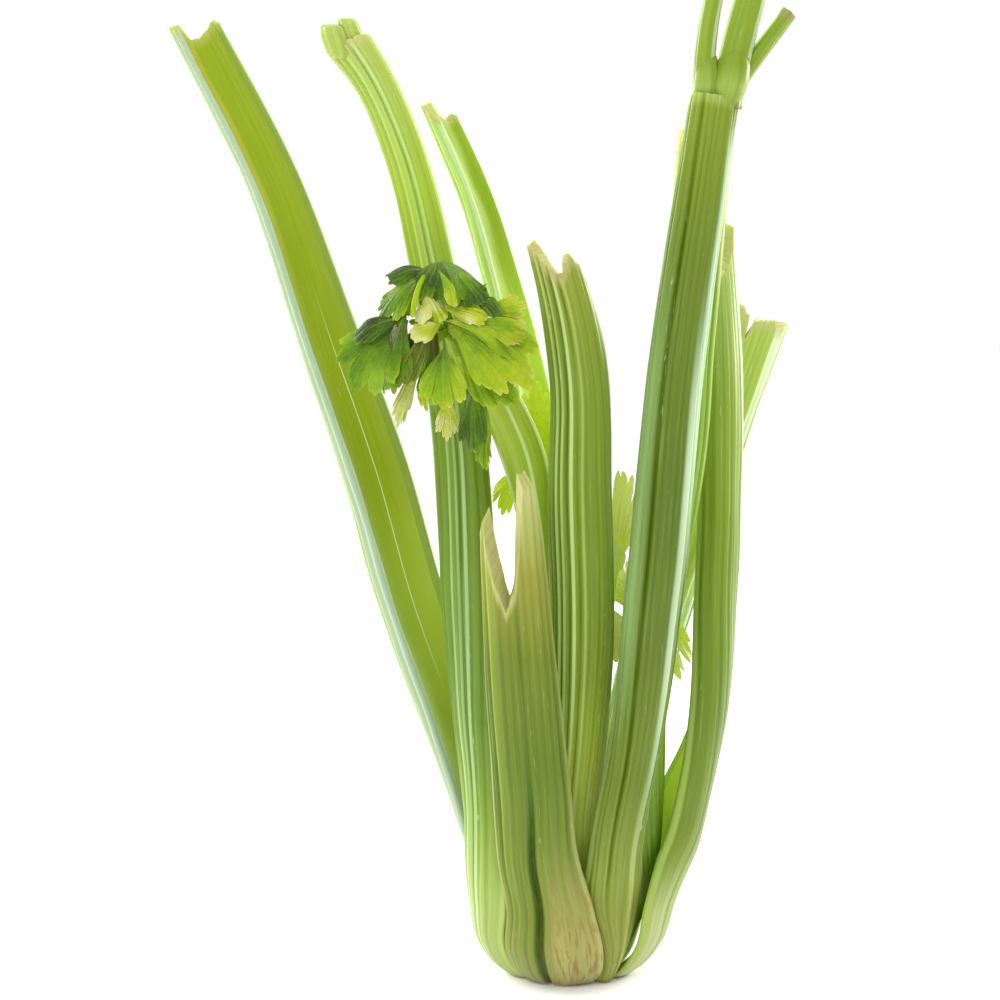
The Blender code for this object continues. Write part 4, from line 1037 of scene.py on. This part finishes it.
# Each leaflet: base, tip, the way its face looks, spread, arch, cup, fold, tone, fade, lobes and their
# depth, teeth and their depth.
leaflet_traits = (
    "base", "tip", "face", "spread", "arch", "cup", "fold", "tone", "fade", "lobes", "lobe_depth", "teeth",
    "tooth_depth",
)
leaflets = [
    ((-48.1, -41, 275.9), (-42.5, -52, 260.2), (0.2, -0.9, 0.5), 58,
     0.26, 0.3, 0.35, 0.25, 0.04, 3, 0.1, 9, 0.06),
    ((-49.5, -43, 275.6), (-57.4, -51, 262.3), (-0.35, -0.9, 0.4), 32,
     0.18, 0.2, 0.3, 0.2, 0.1, 3, 0.12, 9, 0.06),
    ((-53.6, -42, 273), (-67.7, -47, 269.7), (0.1, -0.8, 0.6), 27,
     0.12, 0.1, 0.6, 0.05, 0.1, 1, 0.05, 7, 0.05),
    ((-48.7, -51, 273.1), (-42.5, -56, 260.4), (0.45, -1, 0.2), 15,
     0.1, 0.1, 0.4, 0.66, 0.1, 1, 0.04, 5, 0.04),
    ((-55.3, -46, 270.3), (-70.2, -50, 255.3), (-0.3, -0.9, 0.6), 30,
     0.16, 0.15, 0.3, 0.33, 0.14, 3, 0.14, 9, 0.07),
    ((-44.1, -44, 272.8), (-33.1, -50, 260), (0.2, -0.9, 0.4), 34,
     0.16, 0.15, 0.3, 0.34, -0.1, 3, 0.12, 7, 0.06),
    ((-39, -44, 267.7), (-31.3, -46, 267.8), (0.1, -0.8, 0.6), 52,
     -0.45, 0.7, 0, 0.26, 0.1, 3, 0.25, 9, 0.12),
    ((-37.5, -44, 261.8), (-25.9, -48, 256.3), (0.1, -0.8, 0.8), 26,
     0.22, 0.2, 0.3, 0.14, 0.18, 3, 0.1, 7, 0.06),
    ((-54.2, -48, 266.1), (-48.3, -54, 253.8), (0.1, -1, 0.3), 30,
     0.14, 0.1, 0.5, 0.93, -0.2, 1, 0.06, 7, 0.08),
    ((-51.3, -50, 262.9), (-55.9, -55, 253.9), (-0.3, -1, 0.3), 26,
     0.12, 0.1, 0.3, 0.97, 0.1, 1, 0.06, 5, 0.06),
    ((-48.4, -48, 259.9), (-31.3, -50, 254.6), (0.1, -1, 0.5), 22,
     0.14, 0.3, 0, 0.88, -0.06, 1, 0.05, 7, 0.06),
    ((-32.4, -42, 255.9), (-16.7, -40, 260.5), (0.1, -1, 0.4), 26,
     0.08, 0.1, 0, 0.72, 0.15, 3, 0.2, 11, 0.1),
    ((-33.9, -44, 253.8), (-16.8, -44, 252.3), (0.1, -1, 0.3), 20,
     0.06, 0.1, 0, 0.66, 0.2, 1, 0.1, 9, 0.1),
    # This dark leaflet lies over the top of the fan below it; its darkness is painted shade on the fan's
    # upper part.
    ((-60, -50, 257.1), (-79.9, -52, 247.8), (-0.2, -0.9, 0.7), 19,
     0.1, 0.1, 0.35, 0.03, 0.1, 1, 0.1, 7, 0.06),
    ((-60.1, -45, 254.6), (-81.2, -50, 230.9), (-0.35, -1, 0.4), 42,
     0.14, 0.1, 0, 0.36, 0.1, 5, 0.22, 15, 0.05),
    ((-51.4, -44, 260.7), (-58.3, -49, 233.8), (0.1, -1, 0.2), 23,
     0.1, 0.1, 0.25, 0.12, 0.2, 3, 0.1, 9, 0.06),
    ((-60.6, -52, 259.1), (-67.2, -55, 228.8), (-0.55, -1, 0.1), 22,
     0.1, 0.1, 0.45, 0.24, 0.14, 1, 0.06, 9, 0.05),
    ((-52, -52, 255.8), (-61.4, -54, 231.6), (0.5, -1, 0.2), 16,
     0.12, 0.1, 0.2, 0.3, 0.2, 1, 0.06, 7, 0.05),
    ((-48, -53, 253.4), (-58.7, -57, 248.9), (0.1, -1, 0.5), 34,
     0.14, 0.15, 0, 0.84, 0.1, 1, 0.08, 5, 0.05),
    ((-46.2, -50, 255), (-17.9, -50, 244), (0.1, -0.8, 0.9), 17,
     0.12, 0.1, 0.4, 0.74, -0.1, 3, 0.12, 9, 0.06),
    ((-37.5, -47, 254), (-16.8, -47, 247.5), (0.2, -0.9, 0.5), 24,
     0.1, 0.1, 0, 0.66, 0.1, 3, 0.12, 9, 0.06),
    ((-45.5, -47, 253.3), (-14.6, -49, 231.2), (0.3, -1, 0.5), 37,
     0.13, 0.08, 0, 0.64, 0.06, 3, 0.2, 13, 0.07),
    ((-44.1, -45, 248), (-20.8, -47, 223.3), (0.25, -1, 0.4), 28,
     0.12, 0.1, 0, 0.54, 0.04, 3, 0.18, 11, 0.06),
    ((-46.9, -50, 244.8), (-47.6, -54, 222.5), (-0.1, -1, 0.2), 37,
     0.16, 0.1, 0.25, 0.54, 0.16, 3, 0.2, 9, 0.07),
    ((-45.6, -47, 227), (-46, -46, 210.8), (0.1, -1, 0.1), 26,
     -0.1, 0.35, 0, 0.84, 0.1, 3, 0.2, 9, 0.12),
    ((-53.6, -46, 243), (-63.5, -47, 214.9), (0.5, -1, 0.1), 10,
     -0.05, 0.1, 0.6, 0.95, 0.1, 1, 0.05, 7, 0.1),
    ((-54.3, -44, 243.6), (-53.3, -44, 221.9), (-0.3, -1, 0.1), 13,
     0.06, 0.1, 0.5, 0.66, 0.1, 1, 0.06, 5, 0.06),
    ((-36.1, -42, 233.9), (-37.2, -43, 205.3), (-0.3, -1, 0.1), 17,
     0.06, 0.1, 0.45, 0.2, -0.08, 3, 0.14, 9, 0.06),
    ((-34.7, -38, 230.6), (-29.9, -34, 198.3), (0.6, -1, 0.1), 11,
     0.05, 0.1, 0.4, 0.55, 0.1, 1, 0.08, 7, 0.08),
]
# What some leaflets have besides: wilting, stronger or weaker waves, and for the largest a finer grid.
leaflet_extras = {
    7: {"crimp": 0.15},
    11: {"wilt": 0.35},
    15: {"columns": 110, "rings": 25},
    16: {"wilt": 1},
    17: {"wilt": 0.8},
    18: {"wilt": 0.9},
    19: {"wilt": 0.5},
    21: {"wilt": 0.4},
    22: {"columns": 120, "rings": 27},
    23: {"columns": 100, "rings": 24},
    25: {"crimp": 0.1},
    28: {"crimp": 0.08},
}
leaf_blades = [
    {**dict(zip(leaflet_traits, traits)), **leaflet_extras.get(number, {}), "seed": number}
    for number, traits in enumerate(leaflets, 1)
]
leafy_piece("folded_leaf", "leaf_spray", old_leaf, leaf_stems, leaf_blades, 0.70)


# ---------------------------------------------------------------- pale leaves of the heart
# Three young leafy stems that grew in the dark between the stalks, so they stayed pale yellow-green.
# Each is a round stem on the crown with small, soft, toothed leaflets at its top.

young_leaf = leaf_skin(
    "heart_skin",
    [(0.0, (0.34, 0.48, 0.02)), (0.35, (0.50, 0.60, 0.03)), (0.6, (0.66, 0.74, 0.08)),
     (1.0, (0.86, 0.88, 0.40))],
    (0.72, 0.78, 0.34), (0.70, 0.80, 0.06), 0.38,
)
# Every heart stem leans in from the crown's side: its distance from the axis at each height.
heart_foot = [(11.8, 23), (10.6, 30), (9.6, 40)]
heart_stem_radius = 3.2
heart_paleness = (0.40, 0.92, 1.0)
# Each heart: the side of the crown it grows from, its stem's route and radii, and its leaflets.
hearts = {
    "heart_left": (100, [(0, 9, 60, 2.9), (-1, 12.5, 110, 2.5), (-9, 14, 160, 2.0), (-13, 14, 182, 1.3)], [
        {"base": (-13, 14, 181), "tip": (-13, 10, 226), "face": (0, -1, 0.3), "spread": 34, "cup": 0.15},
        {"base": (-15, 14, 196), "tip": (-25.5, 12, 175), "face": (-0.4, -1, 0.3), "spread": 28,
         "arch": 0.15},
        {"base": (-12, 14, 172), "tip": (2, 20, 196), "face": (0.5, -1, 0.2), "spread": 34, "arch": 0.15},
    ]),
    "heart_middle": (248, [(3, -4, 60, 2.8), (9, -2, 100, 2.3), (15, 0, 140, 1.7), (18, 1, 158, 1.1)], [
        {"base": (18, 1, 157), "tip": (21, -3, 196), "face": (-0.2, -1, 0.2), "spread": 24, "cup": 0.15},
        {"base": (17, 1, 152), "tip": (12, -8, 172), "face": (-0.3, -1, 0.4), "spread": 34, "arch": 0.15},
        {"base": (15, 0, 142), "tip": (20, -7, 120), "face": (0.1, -1, 0.5), "spread": 36, "arch": 0.20},
    ]),
    "heart_right": (8, [(11, 4, 60, 2.8), (19, 8, 100, 2.3), (28, 10, 138, 1.7), (33, 11, 152, 1.1)], [
        {"base": (33, 11, 151), "tip": (43, 10, 112), "face": (0.3, -1, 0.1), "spread": 22, "arch": -0.22},
        {"base": (32, 11, 149), "tip": (30, 14, 182), "face": (0.2, -1, 0.3), "spread": 30, "arch": 0.10},
        {"base": (27, 10, 137), "tip": (16, 19, 158), "face": (-0.3, -1, 0.5), "spread": 32, "arch": 0.15},
    ]),
}
for number, (name, (angle, stem, blades)) in enumerate(hearts.items()):
    turn = math.radians(angle)
    foot = [(away * math.cos(turn), away * math.sin(turn), height, heart_stem_radius)
            for away, height in heart_foot]
    blades = [
        {**blade, "tone": heart_paleness[number] + 0.08 * k, "seed": 70 + 5 * number + k}
        for k, blade in enumerate(blades)
    ]
    leafy_piece(name + "_leaf", name, young_leaf, [foot + stem], blades, 0.75)


# ---------------------------------------------------------------- table, light and camera
# The head stands on a plain pale table in a white room, lit softly from above and from both sides
# behind, with a weak light in front.

table_size = 6
table_gap = 0.0004
bpy.ops.mesh.primitive_plane_add(size=table_size, location=(0, 0, -table_gap))
table = bpy.context.object
table.name = "pale_table"
table_paint, _, shader, _ = new_material("pale_table_paint")
shader.inputs["Base Color"].default_value = (0.93, 0.93, 0.93, 1)
shader.inputs["Roughness"].default_value = 0.6
shader.inputs["Emission Color"].default_value = (1, 1, 1, 1)
shader.inputs["Emission Strength"].default_value = 0.08
table.data.materials.append(table_paint)

room = bpy.data.worlds.new("white_room")
bpy.context.scene.world = room
room.use_nodes = True
room.node_tree.nodes["Background"].inputs[0].default_value = (1, 1, 1, 1)
room.node_tree.nodes["Background"].inputs[1].default_value = 1.0


def soft_light(name, place, aim, size, power):
    """A square area light at a place in metres, turned towards the aim."""
    lamp = bpy.data.lights.new(name, "AREA")
    lamp.size = size
    lamp.energy = power
    stand = bpy.data.objects.new(name, lamp)
    bpy.context.scene.collection.objects.link(stand)
    place, aim = np.array(place), np.array(aim)
    ahead = unit(aim - place)
    stand.location = place
    stand.rotation_euler = (math.acos(-ahead[2]), 0, math.atan2(ahead[1], ahead[0]) - math.pi / 2)


soft_light("behind_right", (0.9, 0.7, 0.5), (0, 0, 0.2), 0.6, 14)
soft_light("behind_left", (-0.9, 0.6, 0.5), (0, 0, 0.2), 0.6, 14)
soft_light("above", (0, 0.1, 1.3), (0, 0, 0.1), 0.8, 6)
soft_light("front", (-0.5, -1.2, 0.8), (0, 0, 0.15), 0.6, 6)

# The camera looks down a little at aim, from view_distance away, and sees view_width there.
aim = (-0.0266, 0, 0.183)
view_distance = 1.3
view_width = 0.38
tilt = math.radians(7)
camera_data = bpy.data.cameras.new("camera")
camera_data.sensor_width = 36
camera_data.lens = camera_data.sensor_width * view_distance / view_width
camera = bpy.data.objects.new("camera", camera_data)
bpy.context.scene.collection.objects.link(camera)
camera.location = (aim[0], -view_distance * math.cos(tilt), aim[2] + view_distance * math.sin(tilt))
camera.rotation_euler = (math.pi / 2 - tilt, 0, 0)
bpy.context.scene.camera = camera
bpy.context.scene.view_settings.view_transform = "Standard"
